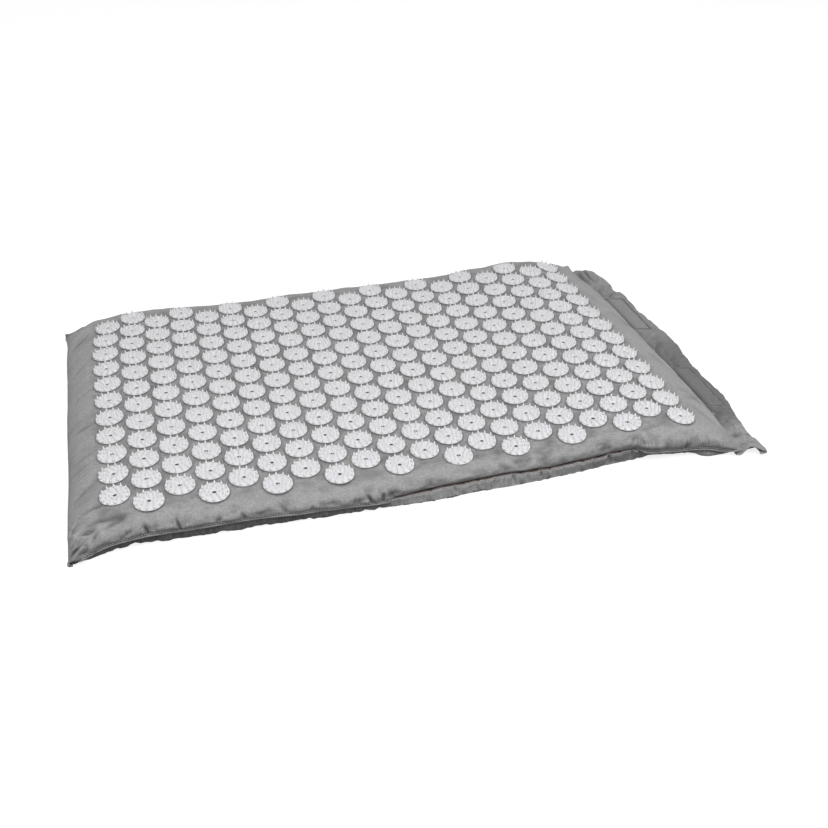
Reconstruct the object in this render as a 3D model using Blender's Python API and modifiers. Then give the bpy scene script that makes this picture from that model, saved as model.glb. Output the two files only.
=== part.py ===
"""Acupressure mat: a cotton cover with spike discs, a foam core, a closure flap and a front opening.

Metres, +Z up. The origin is on the floor under the middle of the disc field. +X runs along the mat
towards the closure flap, +Y towards the back. The discs stand on the top panel in hexagonal order.
"""

import math

import bmesh
import bpy
from mathutils import Matrix, Vector

# Disc field
PITCH = 0.0306
COLUMN_STEP = PITCH * math.sqrt(3) / 2
COLUMN_COUNT = 20
LONG_COLUMN_COUNT = 12

# Spike disc
DISC_DIAMETER = 0.0254
DISC_THICKNESS = 0.0015
DISC_HOLE = 0.003
DISC_SIDES = 18
HOLE_SIDES = 6
PLAIN_DISC_SIDES = 8
PLAIN_RING_SHARE = 0.9
PLAIN_MIDDLE_SHARE = 0.4
SPIKE_HEIGHT = 0.0035
SPIKE_BASE = 0.0022
SPIKE_SIDES = 3
SPIKE_RING_COUNTS = (12, 9, 6)
SPIKE_RING_SHARES = (0.87, 0.59, 0.34)
GOLDEN_TURN = math.pi * (3 - math.sqrt(5))

# Cover cloth and running clearance
CLOTH = 0.0012
GAP = 0.0003

# Margins from the outermost disc rims to the cover's edges
LEFT_MARGIN = 0.0285
RIGHT_MARGIN = 0.0315
FRONT_MARGIN = 0.010
BACK_MARGIN = 0.025

# Cover heights above the floor, and the widths over which its edges roll down
TOP_HEIGHT = 0.025
SEAM_HEIGHT = 0.015
LEFT_EDGE_HEIGHT = 0.0062
CREASE_HEIGHT = 0.014
HEM_DROP = 0.004
HEM_LAP = 0.003
HEM_CLEARANCE = 0.0007
LEFT_SHOULDER = 0.060
RIGHT_SHOULDER = 0.095
FRONT_SHOULDER = 0.014
BACK_SHOULDER = 0.022
SHOULDER_STEPS = 4
LOWER_ROUND = 0.004
ROUND_INSET_SHARES = (1, 0.35, 0, 0)
ROUND_HEIGHT_SHARES = (0, 0.12, 0.4, 1)
WALL_IN_SHARES = (0, 0.7, 1, 1)
WALL_UP_SHARES = (1, 0.7, 0, 0)

# Swells of the filling, as heights above the top and where they crest along the mat
LEFT_SWELL = 0.0036
LEFT_SWELL_PLACE_SHARE = 0.06
RIGHT_SWELL = 0.0090
RIGHT_SWELL_PLACE_SHARE = 0.895
SWELL_REACH = 0.155

# Corner ears of the cover
EAR_REACH = 0.009
EAR_RUN = 0.058

# Foam core, set back from the cover's edges
FOAM_LEFT_SETBACK = 0.018
FOAM_RIGHT_SETBACK = 0.008
FOAM_SIDE_SETBACK = 0.006
FOAM_ROUND = 0.010
FOAM_EDGE_SHARE = 0.55

# Closure at the right end: flap, patches and lower lip, stacked and sloping to the floor
FLAP_REACH = 0.039
FLAP_END_SHARE = 0.68
FLAP_BACK_INSET = 0.010
FLAP_SLOPE = math.radians(8.5)
FLAP_STEPS = 14
HINGE_CLEARANCE = 0.0015
HINGE_DROP = 0.0025
PATCH_LENGTH = 0.075
PATCH_WIDTH = 0.020
PATCH_THICKNESS = 0.0010
PATCH_CORNER = 0.002
PATCH_SETBACK = 0.004
PATCH_PLACE_SHARES = {"front": -0.46, "back": 0.36}

# Opening in the front seam, and the hemmed lip that stands in it
SLIT_START = -0.028
SLIT_LENGTH = 0.234
SLIT_GAPE = 0.0035
SLIT_FADE = 0.025
LIP_FOOT = 0.0022
LIP_STEPS = 36
LIP_WAVE = 0.0007
LIP_WAVE_COUNT = 9

# Overrun of every cutter past what it cuts
OVERRUN = 0.010

# Sizes worked out from the ones above
MIDDLE_COLUMN = (COLUMN_COUNT - 1) / 2
MIDDLE_ROW = (LONG_COLUMN_COUNT - 1) / 2
DISC_RADIUS = DISC_DIAMETER / 2
FIELD_X = MIDDLE_COLUMN * COLUMN_STEP + DISC_RADIUS
FIELD_Y = MIDDLE_ROW * PITCH + DISC_RADIUS
LEFT_X = -FIELD_X - LEFT_MARGIN
RIGHT_X = FIELD_X + RIGHT_MARGIN
FRONT_Y = -FIELD_Y - FRONT_MARGIN
BACK_Y = FIELD_Y + BACK_MARGIN
MIDDLE_Y = (FRONT_Y + BACK_Y) / 2
LAYER = CLOTH + GAP
WALL_INSET = CLOTH + HEM_CLEARANCE
PATCH_LAYER = PATCH_THICKNESS + GAP
SLIT_END = SLIT_START + SLIT_LENGTH
FLAP_FRONT_Y = FRONT_Y - EAR_REACH
FLAP_BACK_Y = BACK_Y - FLAP_BACK_INSET
FLAP_LENGTH = FLAP_BACK_Y - FLAP_FRONT_Y
HINGE = Vector((RIGHT_X + HINGE_CLEARANCE, (FLAP_FRONT_Y + FLAP_BACK_Y) / 2, CREASE_HEIGHT - HINGE_DROP))
LIP_HINGE_Y = FRONT_Y + WALL_INSET + CLOTH / 2
LIP_HINGE_Z = LIP_FOOT + CLOTH / 2
LIP_TOP = SEAM_HEIGHT - HEM_DROP
CLOSURE_LIP_X = RIGHT_X - WALL_INSET - CLOTH

# Materials
COTTON_GREY = (0.34, 0.34, 0.35)
COTTON_SHADE = (0.28, 0.28, 0.29)
DISC_WHITE = (0.80, 0.80, 0.84)
FOAM_CREAM = (0.82, 0.78, 0.66)
TAPE_GREY = (0.22, 0.22, 0.23)


def clear_scene():
    """Remove every object, so that the script gives the same model in any file."""
    for old in list(bpy.data.objects):
        bpy.data.objects.remove(old, do_unlink=True)


def new_collection(name):
    collection = bpy.data.collections.new(name)
    bpy.context.scene.collection.children.link(collection)
    return collection


def new_material(name, colour, roughness):
    """A Principled material with a plain colour."""
    material = bpy.data.materials.new(name)
    material.use_nodes = True
    shader = material.node_tree.nodes["Principled BSDF"]
    shader.inputs["Base Color"].default_value = (*colour, 1)
    shader.inputs["Roughness"].default_value = roughness
    shader.inputs["Metallic"].default_value = 0
    material.diffuse_color = (*colour, 1)
    return material


def add_object(name, bm, collection, material=None):
    """Turn a bmesh into a named object in a collection."""
    mesh = bpy.data.meshes.new(name)
    bm.to_mesh(mesh)
    bm.free()
    item = bpy.data.objects.new(name, mesh)
    collection.objects.link(item)
    if material:
        mesh.materials.append(material)
    return item


def apply_modifiers(item):
    """Replace an object's mesh by its evaluated one."""
    graph = bpy.context.evaluated_depsgraph_get()
    graph.update()
    mesh = bpy.data.meshes.new_from_object(item.evaluated_get(graph))
    old = item.data
    item.modifiers.clear()
    item.data = mesh
    bpy.data.meshes.remove(old)


def make_cutter(item):
    item.hide_render = True
    item.display_type = "WIRE"


def add_wall(item, thickness, offset=-1):
    """Give an open sheet its thickness, on the side away from its normals."""
    wall = item.modifiers.new("cloth", "SOLIDIFY")
    wall.thickness = thickness
    wall.offset = offset
    wall.use_even_offset = True
    wall.use_quality_normals = True


def smooth(item, degrees=35):
    item.data.shade_smooth()
    item.data.set_sharp_from_angle(angle=math.radians(degrees))


# The cover's form, as functions of the place on the mat

def roll(distance, width):
    """Share of the full height at a distance from an edge, along a quarter ellipse."""
    inner = 1 - min(distance / width, 1)
    return math.sqrt(max(1 - inner * inner, 0))


def bell(x, crest, height):
    """A smooth swell of a height that fades out over the swell's reach."""
    turn = min(abs(x - crest) / SWELL_REACH, 1) * math.pi
    return height * (1 + math.cos(turn)) / 2


def crown(x):
    """Height of the filled mat along its length, before its edges roll down."""
    length = RIGHT_X - LEFT_X
    left = bell(x, LEFT_X + length * LEFT_SWELL_PLACE_SHARE, LEFT_SWELL)
    right = bell(x, LEFT_X + length * RIGHT_SWELL_PLACE_SHARE, RIGHT_SWELL)
    return TOP_HEIGHT + left + right


def seam_height(x):
    """Height of the cover's edge: low at the left, full along the sides, middling at the crease."""
    rise = roll(x - LEFT_X, LEFT_SHOULDER)
    fall = roll(RIGHT_X - x, RIGHT_SHOULDER)
    low = LEFT_EDGE_HEIGHT + (SEAM_HEIGHT - LEFT_EDGE_HEIGHT) * rise
    return CREASE_HEIGHT + (low - CREASE_HEIGHT) * fall


def surface_height(x, y):
    """Height of the top panel's outer surface."""
    share = roll(x - LEFT_X, LEFT_SHOULDER) * roll(RIGHT_X - x, RIGHT_SHOULDER)
    share *= roll(y - FRONT_Y, FRONT_SHOULDER) * roll(BACK_Y - y, BACK_SHOULDER)
    seam = seam_height(x)
    return seam + (crown(x) - seam) * share


def ear(distance):
    """How far an edge is pushed out at a distance from its corner."""
    return EAR_REACH * max(1 - distance / EAR_RUN, 0) ** 2


def place(x, y):
    """Move a point of the plain rectangle out towards the pinched corners."""
    near_end = min(x - LEFT_X, RIGHT_X - x)
    front_share = max(1 - (y - FRONT_Y) / FRONT_SHOULDER, 0)
    back_share = max(1 - (BACK_Y - y) / BACK_SHOULDER, 0)
    return x, y + ear(near_end) * (back_share - front_share)


def shoulder_lines(edge, inner):
    """Lines across a shoulder, closer together near the edge."""
    turns = [step / SHOULDER_STEPS * math.pi / 2 for step in range(SHOULDER_STEPS + 1)]
    return [edge + (inner - edge) * (1 - math.cos(turn)) for turn in turns]


def even_lines(start, end, count):
    return [start + (end - start) * step / count for step in range(count + 1)]


def column_edges():
    """Lines midway between the columns of discs, so that each column has its own flat strip."""
    half = COLUMN_COUNT / 2
    return [(line - half) * COLUMN_STEP for line in range(COLUMN_COUNT + 1)]


def cover_x_lines(inset=0):
    edges = column_edges()
    left = shoulder_lines(LEFT_X + inset, edges[0])
    right = shoulder_lines(RIGHT_X - inset, edges[-1])
    return left[:-1] + edges + right[-2::-1]


def cover_y_lines(inset=0):
    front = shoulder_lines(FRONT_Y + inset, FRONT_Y + FRONT_SHOULDER)
    back = shoulder_lines(BACK_Y - inset, BACK_Y - BACK_SHOULDER)
    return front + back[::-1]


# Building blocks

def grid_sheet(xs, ys, point):
    """An open sheet of quads over crossing lines, facing up."""
    bm = bmesh.new()
    bmesh.ops.create_grid(bm, x_segments=len(xs) - 1, y_segments=len(ys) - 1, size=1)
    by_place = sorted(bm.verts, key=lambda vert: (round(vert.co.y, 4), round(vert.co.x, 4)))
    for index, vert in enumerate(by_place):
        row, column = divmod(index, len(xs))
        vert.co = point(xs[column], ys[row])
    return bm


def drop_rim(bm, keep, depth):
    """Extrude the sheet's rim straight down by a depth, where keep allows it."""
    rim = [edge for edge in bm.edges if edge.is_boundary and all(keep(v.co) for v in edge.verts)]
    made = bmesh.ops.extrude_edge_only(bm, edges=rim)["geom"]
    for vert in (item for item in made if isinstance(item, bmesh.types.BMVert)):
        vert.co.z -= depth(vert.co)


def fill_body(bm, floor_z):
    """Close a sheet into a solid that stands on a flat floor."""
    rim = [edge for edge in bm.edges if edge.is_boundary]
    made = bmesh.ops.extrude_edge_only(bm, edges=rim)["geom"]
    for vert in (item for item in made if isinstance(item, bmesh.types.BMVert)):
        vert.co.z = floor_z
    bmesh.ops.holes_fill(bm, edges=[edge for edge in bm.edges if edge.is_boundary], sides=0)
    bmesh.ops.recalc_face_normals(bm, faces=bm.faces)


def add_boolean(item, operation, other):
    """Cut or join by another object."""
    step = item.modifiers.new(other.name, "BOOLEAN")
    step.operation = operation
    step.object = other


def slit_share(x):
    """1 inside the front opening, fading to 0 past its ends."""
    outside = max(SLIT_START - x, x - SLIT_END, 0)
    return max(1 - outside / SLIT_FADE, 0)


# Pieces of the cover

def hem_depth(co):
    """Depth of the hem below the roll: shorter where the front opening gapes."""
    at_front = co.y < MIDDLE_Y
    gape = SLIT_GAPE * slit_share(co.x) if at_front else 0
    return HEM_DROP - gape


def disc_places():
    """Column, row and centre of every disc."""
    for column in range(COLUMN_COUNT):
        long_column = column % 2 == 1
        count = LONG_COLUMN_COUNT if long_column else LONG_COLUMN_COUNT - 1
        first = -MIDDLE_ROW if long_column else 0.5 - MIDDLE_ROW
        for row in range(count):
            x = (column - MIDDLE_COLUMN) * COLUMN_STEP
            yield column, row, x, (first + row) * PITCH


def strip_frame(x, y, lift):
    """Seat of a disc on its column's flat strip, raised by a lift along the strip's normal."""
    half = COLUMN_STEP / 2
    low = surface_height(x - half, MIDDLE_Y)
    high = surface_height(x + half, MIDDLE_Y)
    tilt = -math.atan2(high - low, COLUMN_STEP)
    seat = Vector((x, y, (low + high) / 2))
    turn = Matrix.Rotation(tilt, 4, "Y")
    return Matrix.Translation(seat) @ turn @ Matrix.Translation((0, 0, lift))


def is_separate(row):
    """The front row keeps its discs as pieces of their own, in every column."""
    return row == 0


def plain_disc(bm, seat):
    """An inner disc: a round sunk half through its cloth, whose rim rises to a few coarse points."""
    def vertex(radius, turn, height):
        return bm.verts.new(seat @ Vector((radius * math.cos(turn), radius * math.sin(turn), height)))

    foot, rim = [], []
    for step in range(PLAIN_DISC_SIDES):
        turn = step / PLAIN_DISC_SIDES * 2 * math.pi
        point_height = SPIKE_HEIGHT if step % 2 else 0
        foot.append(vertex(DISC_RADIUS, turn, -CLOTH / 2))
        rim.append(vertex(DISC_RADIUS * PLAIN_RING_SHARE, turn, DISC_THICKNESS + point_height))
    middle = vertex(0, 0, DISC_THICKNESS + SPIKE_HEIGHT * PLAIN_MIDDLE_SHARE)
    for step in range(PLAIN_DISC_SIDES):
        after = (step + 1) % PLAIN_DISC_SIDES
        bm.faces.new((foot[step], foot[after], rim[step]))
        bm.faces.new((foot[after], rim[after], rim[step]))
        bm.faces.new((rim[step], rim[after], middle))
    bm.faces.new(foot[::-1])


def plain_discs(collection):
    """The inner discs, each on its seat."""
    bm = bmesh.new()
    for _, row, x, y in disc_places():
        if not is_separate(row):
            plain_disc(bm, strip_frame(x, y, 0))
    return add_object("plain_discs", bm, collection)


def make_top_panel(parts, tools, cotton):
    """Cloth with strips under the columns, rolled shoulders, a hem, and the inner discs."""
    def point(x, y):
        return (*place(x, y), surface_height(x, y))

    bm = grid_sheet(cover_x_lines(), cover_y_lines(), point)
    crease = RIGHT_X - CLOTH / 2
    drop_rim(bm, lambda co: co.x < crease or co.y < FRONT_Y or co.y > BACK_Y, hem_depth)
    panel = add_object("top_panel", bm, parts, cotton)
    add_wall(panel, CLOTH)
    apply_modifiers(panel)
    discs = plain_discs(tools)
    make_cutter(discs)
    add_boolean(panel, "UNION", discs)
    smooth(panel)
    return panel


def rim_loop(inset):
    """Stations around the cover's edge, anticlockwise seen from above."""
    xs = cover_x_lines(inset)
    ys = cover_y_lines(inset)
    front = [(x, ys[0]) for x in xs[:-1]]
    right = [(xs[-1], y) for y in ys[:-1]]
    back = [(x, ys[-1]) for x in xs[:0:-1]]
    left = [(xs[0], y) for y in ys[:0:-1]]
    return front + right + back + left


def closure_point(x, z):
    """World height of a point of the closure stack, from its place in the hinge's tilted frame."""
    return HINGE.z - x * math.sin(FLAP_SLOPE) + z * math.cos(FLAP_SLOPE)


def wall_height(x):
    """Top of the bottom panel's wall: inside the hem, or under the closure lip at the right end."""
    if x < CLOSURE_LIP_X - LOWER_ROUND:
        return seam_height(x) - HEM_DROP + HEM_LAP
    wall_face = RIGHT_X - WALL_INSET
    return closure_point(wall_face - HINGE.x, -closure_lip_depth() - CLOTH / 2) - GAP


def make_bottom_panel(parts, tools, cotton):
    """A shallow tray of cloth: its walls stand inside the top panel's hem, open at the front lip."""
    outer_rings = tuple(zip(ROUND_INSET_SHARES, ROUND_HEIGHT_SHARES, (0, 0, 0, 0), (0, 0, 0, 0)))
    inner_rings = tuple(zip(ROUND_INSET_SHARES, ROUND_HEIGHT_SHARES, WALL_IN_SHARES, WALL_UP_SHARES))
    bm = bmesh.new()
    nominal = bm.verts.layers.float_vector.new("nominal")

    def set_ring(verts, ring):
        round_in, height_share, cloth_in, cloth_up = ring
        inset = WALL_INSET + LOWER_ROUND * round_in + CLOTH * cloth_in
        for vert in verts:
            x = min(max(vert[nominal].x, LEFT_X + inset), RIGHT_X - inset)
            y = min(max(vert[nominal].y, FRONT_Y + inset), BACK_Y - inset)
            height = wall_height(vert[nominal].x) * height_share + CLOTH * cloth_up
            vert.co = (*place(x, y), height)

    loop = []
    for x, y in rim_loop(WALL_INSET):
        vert = bm.verts.new((x, y, 0))
        vert[nominal] = (x, y, 0)
        loop.append(vert)
    bm.faces.new(loop)
    set_ring(loop, outer_rings[0])
    for ring in outer_rings[1:] + inner_rings[::-1]:
        rim = [edge for edge in bm.edges if edge.is_boundary]
        made = bmesh.ops.extrude_edge_only(bm, edges=rim)["geom"]
        set_ring([item for item in made if isinstance(item, bmesh.types.BMVert)], ring)
    bmesh.ops.holes_fill(bm, edges=[edge for edge in bm.edges if edge.is_boundary], sides=0)
    bmesh.ops.recalc_face_normals(bm, faces=bm.faces)
    panel = add_object("bottom_panel", bm, parts, cotton)
    notch = box("front_opening", tools,
                (SLIT_START, FRONT_Y - OVERRUN, LIP_FOOT - GAP),
                (SLIT_END, FRONT_Y + WALL_INSET + LOWER_ROUND + CLOTH, SEAM_HEIGHT + OVERRUN))
    make_cutter(notch)
    add_boolean(panel, "DIFFERENCE", notch)
    smooth(panel)
    return panel


def box(name, collection, low, high, material=None):
    """A box between two corners."""
    bm = bmesh.new()
    size = Vector(high) - Vector(low)
    middle = (Vector(high) + Vector(low)) / 2
    matrix = Matrix.Translation(middle) @ Matrix.Diagonal((*size, 1))
    bmesh.ops.create_cube(bm, size=1, matrix=matrix)
    return add_object(name, bm, collection, material)


# Filling

def along(lines, x, height):
    """Height at x on the straight facets between the cover's lines."""
    for start, end in zip(lines, lines[1:]):
        if start <= x <= end:
            low, high = height(start), height(end)
            slope = (high - low) / (end - start)
            return low + slope * (x - start), slope
    return height(x), 0


def make_foam_core(parts, foam):
    """A slab that fills the cover, with rounded edges, flat underneath."""
    lines = cover_x_lines()
    left = LEFT_X + FOAM_LEFT_SETBACK
    right = RIGHT_X - FOAM_RIGHT_SETBACK
    front = FRONT_Y + FOAM_SIDE_SETBACK
    back = BACK_Y - FOAM_SIDE_SETBACK
    floor_z = LAYER
    inner = [x for x in column_edges() if left + FOAM_ROUND < x < right - FOAM_ROUND]
    xs = [left, left + FOAM_ROUND, *inner, right - FOAM_ROUND, right]
    back_round = BACK_SHOULDER - FOAM_SIDE_SETBACK
    front_round = FRONT_SHOULDER - FOAM_SIDE_SETBACK
    ys = [front, front + front_round, back - back_round, back]

    def point(x, y):
        height, slope = along(lines, x, lambda line: surface_height(line, MIDDLE_Y))
        under = height - CLOTH * math.hypot(1, slope) - GAP
        at_rim = x in (left, right) or y in (front, back)
        share = FOAM_EDGE_SHARE if at_rim else 1
        return x, y, floor_z + (under - floor_z) * share

    bm = grid_sheet(xs, ys, point)
    fill_body(bm, floor_z)
    return add_object("foam_core", bm, parts, foam)


# Closure at the right end

def closure_lip_depth():
    """Middle of the lower lip below the middle of the flap, through both layers of tape."""
    return CLOTH + 2 * PATCH_LAYER + GAP


def flap_reach(y):
    """Reach of the flap beyond its hinge: full in the middle, drawn in at both ends."""
    share = (2 * y / FLAP_LENGTH) ** 2
    return FLAP_REACH * (1 - (1 - FLAP_END_SHARE) * share)


def closure_sheet(name, parts, cotton, inner, z):
    """A strip of cloth along the hinge, in the hinge's frame, with its middle at z."""
    ys = even_lines(-FLAP_LENGTH / 2, FLAP_LENGTH / 2, FLAP_STEPS)
    across = (0, 0.5, 1)

    def point(share, y):
        return inner + (flap_reach(y) - inner) * share, y, z

    bm = grid_sheet(across, ys, point)
    sheet = add_object(name, bm, parts, cotton)
    add_wall(sheet, CLOTH, offset=0)
    return sheet


def patch(name, parts, tape, y, z):
    """A piece of tape with rounded corners, in the hinge's frame, with its middle at z."""
    low = (PATCH_SETBACK, y - PATCH_LENGTH / 2, z - PATCH_THICKNESS / 2)
    high = (PATCH_SETBACK + PATCH_WIDTH, y + PATCH_LENGTH / 2, z + PATCH_THICKNESS / 2)
    item = box(name, parts, low, high, tape)
    bm = bmesh.new()
    bm.from_mesh(item.data)
    upright = [edge for edge in bm.edges if abs(edge.verts[0].co.z - edge.verts[1].co.z) > GAP]
    bmesh.ops.bevel(bm, geom=upright, offset=PATCH_CORNER, segments=2, affect="EDGES")
    bm.to_mesh(item.data)
    bm.free()
    return item


def hinge_empty(name, parts, tilt=0):
    """An empty on the closure's hinge line, which carries what belongs to it."""
    empty = bpy.data.objects.new(name, None)
    parts.objects.link(empty)
    empty.location = HINGE
    empty.rotation_euler = (0, tilt, 0)
    return empty


def make_closure(parts, cotton, hook, loop):
    """The flap with its hook patches, over the lower lip with its loop patches."""
    moving = hinge_empty("closure_hinge", parts, FLAP_SLOPE)
    fixed = hinge_empty("closure_seat", parts, FLAP_SLOPE)
    flap = closure_sheet("closure_flap", parts, cotton, -CLOTH / 2, 0)
    flap.parent = moving
    lip = closure_sheet("closure_lip", parts, cotton, CLOSURE_LIP_X - HINGE.x, -closure_lip_depth())
    lip.parent = fixed
    hook_z = -CLOTH / 2 - GAP - PATCH_THICKNESS / 2
    for end, share in PATCH_PLACE_SHARES.items():
        y = share * FLAP_LENGTH / 2
        hooks = patch("hook_patch_" + end, parts, hook, y, hook_z)
        hooks.parent = moving
        loops = patch("loop_patch_" + end, parts, loop, y, hook_z - PATCH_LAYER)
        loops.parent = fixed


def make_front_lip(parts, cotton):
    """The hemmed lip that stands in the front opening, straight at its foot and wavy at its top."""
    start = SLIT_START + GAP
    end = SLIT_END - GAP
    xs = even_lines(start, end, LIP_STEPS)
    height_shares = (0, 0.5, 1)
    foot = LIP_FOOT - LIP_HINGE_Z
    height = LIP_TOP - LIP_FOOT

    def point(x, share):
        turn = (x - start) / (end - start) * LIP_WAVE_COUNT * 2 * math.pi
        sway = LIP_WAVE * share * (math.cos(turn) - 1) / 2
        return x, sway, foot + height * share

    bm = grid_sheet(xs, height_shares, point)
    lip = add_object("front_lip", bm, parts, cotton)
    add_wall(lip, CLOTH, offset=0)
    lip.location = (0, LIP_HINGE_Y, LIP_HINGE_Z)
    smooth(lip)
    return lip


# Spike discs

def round_bar(bm, sides, radius, low, high, x=0, y=0, tip=None):
    """A round or tapered bar between two heights."""
    seat = Matrix.Translation((x, y, (low + high) / 2))
    bmesh.ops.create_cone(
        bm, cap_ends=True, segments=sides, radius1=radius,
        radius2=radius if tip is None else tip, depth=high - low, matrix=seat)


def spike_disc_mesh(tools, plastic):
    """One moulded disc: a round plate with a hole and three rings of spikes."""
    plate = bmesh.new()
    round_bar(plate, DISC_SIDES, DISC_RADIUS, 0, DISC_THICKNESS)
    disc = add_object("disc_form", plate, tools, plastic)
    hole = bmesh.new()
    round_bar(hole, HOLE_SIDES, DISC_HOLE / 2, -OVERRUN, DISC_THICKNESS + OVERRUN)
    hole = add_object("disc_hole", hole, tools)
    spikes = bmesh.new()
    root = DISC_THICKNESS / 2
    for count, share in zip(SPIKE_RING_COUNTS, SPIKE_RING_SHARES):
        for step in range(count):
            turn = step / count * 2 * math.pi
            x = DISC_RADIUS * share * math.cos(turn)
            y = DISC_RADIUS * share * math.sin(turn)
            top = DISC_THICKNESS + SPIKE_HEIGHT
            round_bar(spikes, SPIKE_SIDES, SPIKE_BASE / 2, root, top, x, y, tip=0)
    spikes = add_object("disc_spikes", spikes, tools)
    add_boolean(disc, "DIFFERENCE", hole)
    add_boolean(disc, "UNION", spikes)
    apply_modifiers(disc)
    for item in (disc, hole, spikes):
        make_cutter(item)
    return disc.data


def make_spike_discs(parts, tools, plastic):
    """The discs of the front row, each on its own seat and turn."""
    mesh = spike_disc_mesh(tools, plastic)
    for column, row, x, y in disc_places():
        if not is_separate(row):
            continue
        disc = bpy.data.objects.new(f"spike_disc_{column + 1:02d}_{row + 1:02d}", mesh)
        parts.objects.link(disc)
        turn = Matrix.Rotation((column + row) * GOLDEN_TURN, 4, "Z")
        disc.matrix_world = strip_frame(x, y, GAP) @ turn


def main():
    clear_scene()
    parts = new_collection("acupressure_mat")
    tools = new_collection("cutters")
    cotton = new_material("cotton_top", COTTON_GREY, 0.9)
    shade = new_material("cotton_underside", COTTON_SHADE, 0.9)
    foam = new_material("foam", FOAM_CREAM, 0.95)
    hook = new_material("hook_tape", TAPE_GREY, 0.7)
    loop = new_material("loop_tape", TAPE_GREY, 0.95)
    plastic = new_material("disc_plastic", DISC_WHITE, 0.4)
    make_top_panel(parts, tools, cotton)
    make_bottom_panel(parts, tools, shade)
    make_foam_core(parts, foam)
    make_closure(parts, cotton, hook, loop)
    make_front_lip(parts, shade)
    make_spike_discs(parts, tools, plastic)


main()
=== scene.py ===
# %% [markdown]
# # Dressing an acupressure mat
# The mat is a flat cotton cover filled with foam. 230 white plastic discs with short points stand
# on its top in staggered columns. The front seam has an opening with a hemmed lip, and the right end
# closes with a flap on hook-and-loop patches. The imported model gives every size and place, so the
# first step loads it.

# %% Load the imported model
import math

import bpy
import numpy as np
from mathutils import Matrix, Vector, noise


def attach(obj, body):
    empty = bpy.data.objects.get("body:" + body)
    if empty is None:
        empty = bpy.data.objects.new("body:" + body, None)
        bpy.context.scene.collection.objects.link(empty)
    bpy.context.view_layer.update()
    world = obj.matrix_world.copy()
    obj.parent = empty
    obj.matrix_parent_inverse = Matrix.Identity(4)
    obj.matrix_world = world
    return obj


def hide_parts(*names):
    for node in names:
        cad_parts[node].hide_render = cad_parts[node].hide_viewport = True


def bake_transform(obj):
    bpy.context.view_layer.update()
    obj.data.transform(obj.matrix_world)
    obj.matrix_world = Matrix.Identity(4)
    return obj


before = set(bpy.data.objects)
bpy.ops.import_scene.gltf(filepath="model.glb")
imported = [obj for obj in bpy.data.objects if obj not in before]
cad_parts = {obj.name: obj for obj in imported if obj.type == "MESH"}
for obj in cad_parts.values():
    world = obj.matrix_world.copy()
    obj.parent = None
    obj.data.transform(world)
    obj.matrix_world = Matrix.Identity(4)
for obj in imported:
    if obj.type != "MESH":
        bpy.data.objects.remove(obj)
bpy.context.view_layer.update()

# %% [markdown]
# ## The camera
# A cut-out studio photograph has no floor line to measure, but the discs stand on a regular grid.
# The grid gives the lens, the distance and the two angles. The camera is set first, so that every
# later piece can be judged from the same place.

# %% Camera
LENS_MM, SENSOR_MM = 47.12, 36.0
CAMERA_AZIMUTH, CAMERA_ELEVATION = math.radians(-15.237), math.radians(32.5166)
CAMERA_DISTANCE = 1.0037
CAMERA_TARGET = Vector((0.02004, -0.09269, 0.025))

back = Vector((
    math.sin(CAMERA_AZIMUTH) * math.cos(CAMERA_ELEVATION),
    -math.cos(CAMERA_AZIMUTH) * math.cos(CAMERA_ELEVATION),
    math.sin(CAMERA_ELEVATION)))
bpy.ops.object.camera_add(location=CAMERA_TARGET + back * CAMERA_DISTANCE)
camera = bpy.context.object
camera.rotation_euler = back.to_track_quat("Z", "Y").to_euler()
camera.data.lens = LENS_MM
camera.data.sensor_width = SENSOR_MM
camera.data.clip_start = 0.05
bpy.context.scene.camera = camera
bpy.context.scene.view_settings.view_transform = "Standard"
print("camera at", tuple(round(c, 3) for c in camera.location))

# %% [markdown]
# ## Small helpers
# Blender's operators act on whatever is selected, so a helper clears the selection before each new
# primitive. Soft cloth is shaped by moving many points at once, so two more helpers read all of a
# mesh's points into an array and write them back, and one lays out a sheet of cloth as a grid.

# %% Helpers for objects and points
MM = 0.001


def deselect():
    """Leave object mode clean, with nothing selected."""
    if bpy.context.object and bpy.context.object.mode != "OBJECT":
        bpy.ops.object.mode_set(mode="OBJECT")
    bpy.ops.object.select_all(action="DESELECT")


def named(name):
    """Name the object that an operator has just made."""
    made = bpy.context.object
    made.name = made.data.name = name
    return made


def only(piece):
    """Select one piece and make it active."""
    deselect()
    piece.select_set(True)
    bpy.context.view_layer.objects.active = piece


def get_points(piece):
    points = np.empty(len(piece.data.vertices) * 3)
    piece.data.vertices.foreach_get("co", points)
    return points.reshape(-1, 3)


def set_points(piece, points):
    piece.data.vertices.foreach_set("co", np.asarray(points, float).ravel())
    piece.data.update()


def apply_all(piece):
    """Apply every modifier of a piece, in order."""
    only(piece)
    for modifier in list(piece.modifiers):
        bpy.ops.object.modifier_apply(modifier=modifier.name)


def solidify(piece, thickness, offset=-1.0):
    """Give a sheet of cloth its thickness, on the side away from its normals."""
    wall = piece.modifiers.new("cloth", "SOLIDIFY")
    wall.thickness = thickness
    wall.offset = offset
    apply_all(piece)


def smooth(piece, degrees=60):
    """Shade smooth, apart from edges sharper than an angle."""
    only(piece)
    bpy.ops.object.shade_smooth_by_angle(angle=math.radians(degrees))


def edit(piece):
    """Enter edit mode on one piece, with all of it selected."""
    only(piece)
    bpy.ops.object.mode_set(mode="EDIT")
    bpy.ops.mesh.select_all(action="SELECT")


def copy_of(form, name, place):
    """A copy with a mesh of its own, with its place written into its points."""
    made = form.copy()
    made.data = form.data.copy()
    made.name = made.data.name = name
    bpy.context.scene.collection.objects.link(made)
    made.data.transform(place)
    return made


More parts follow.
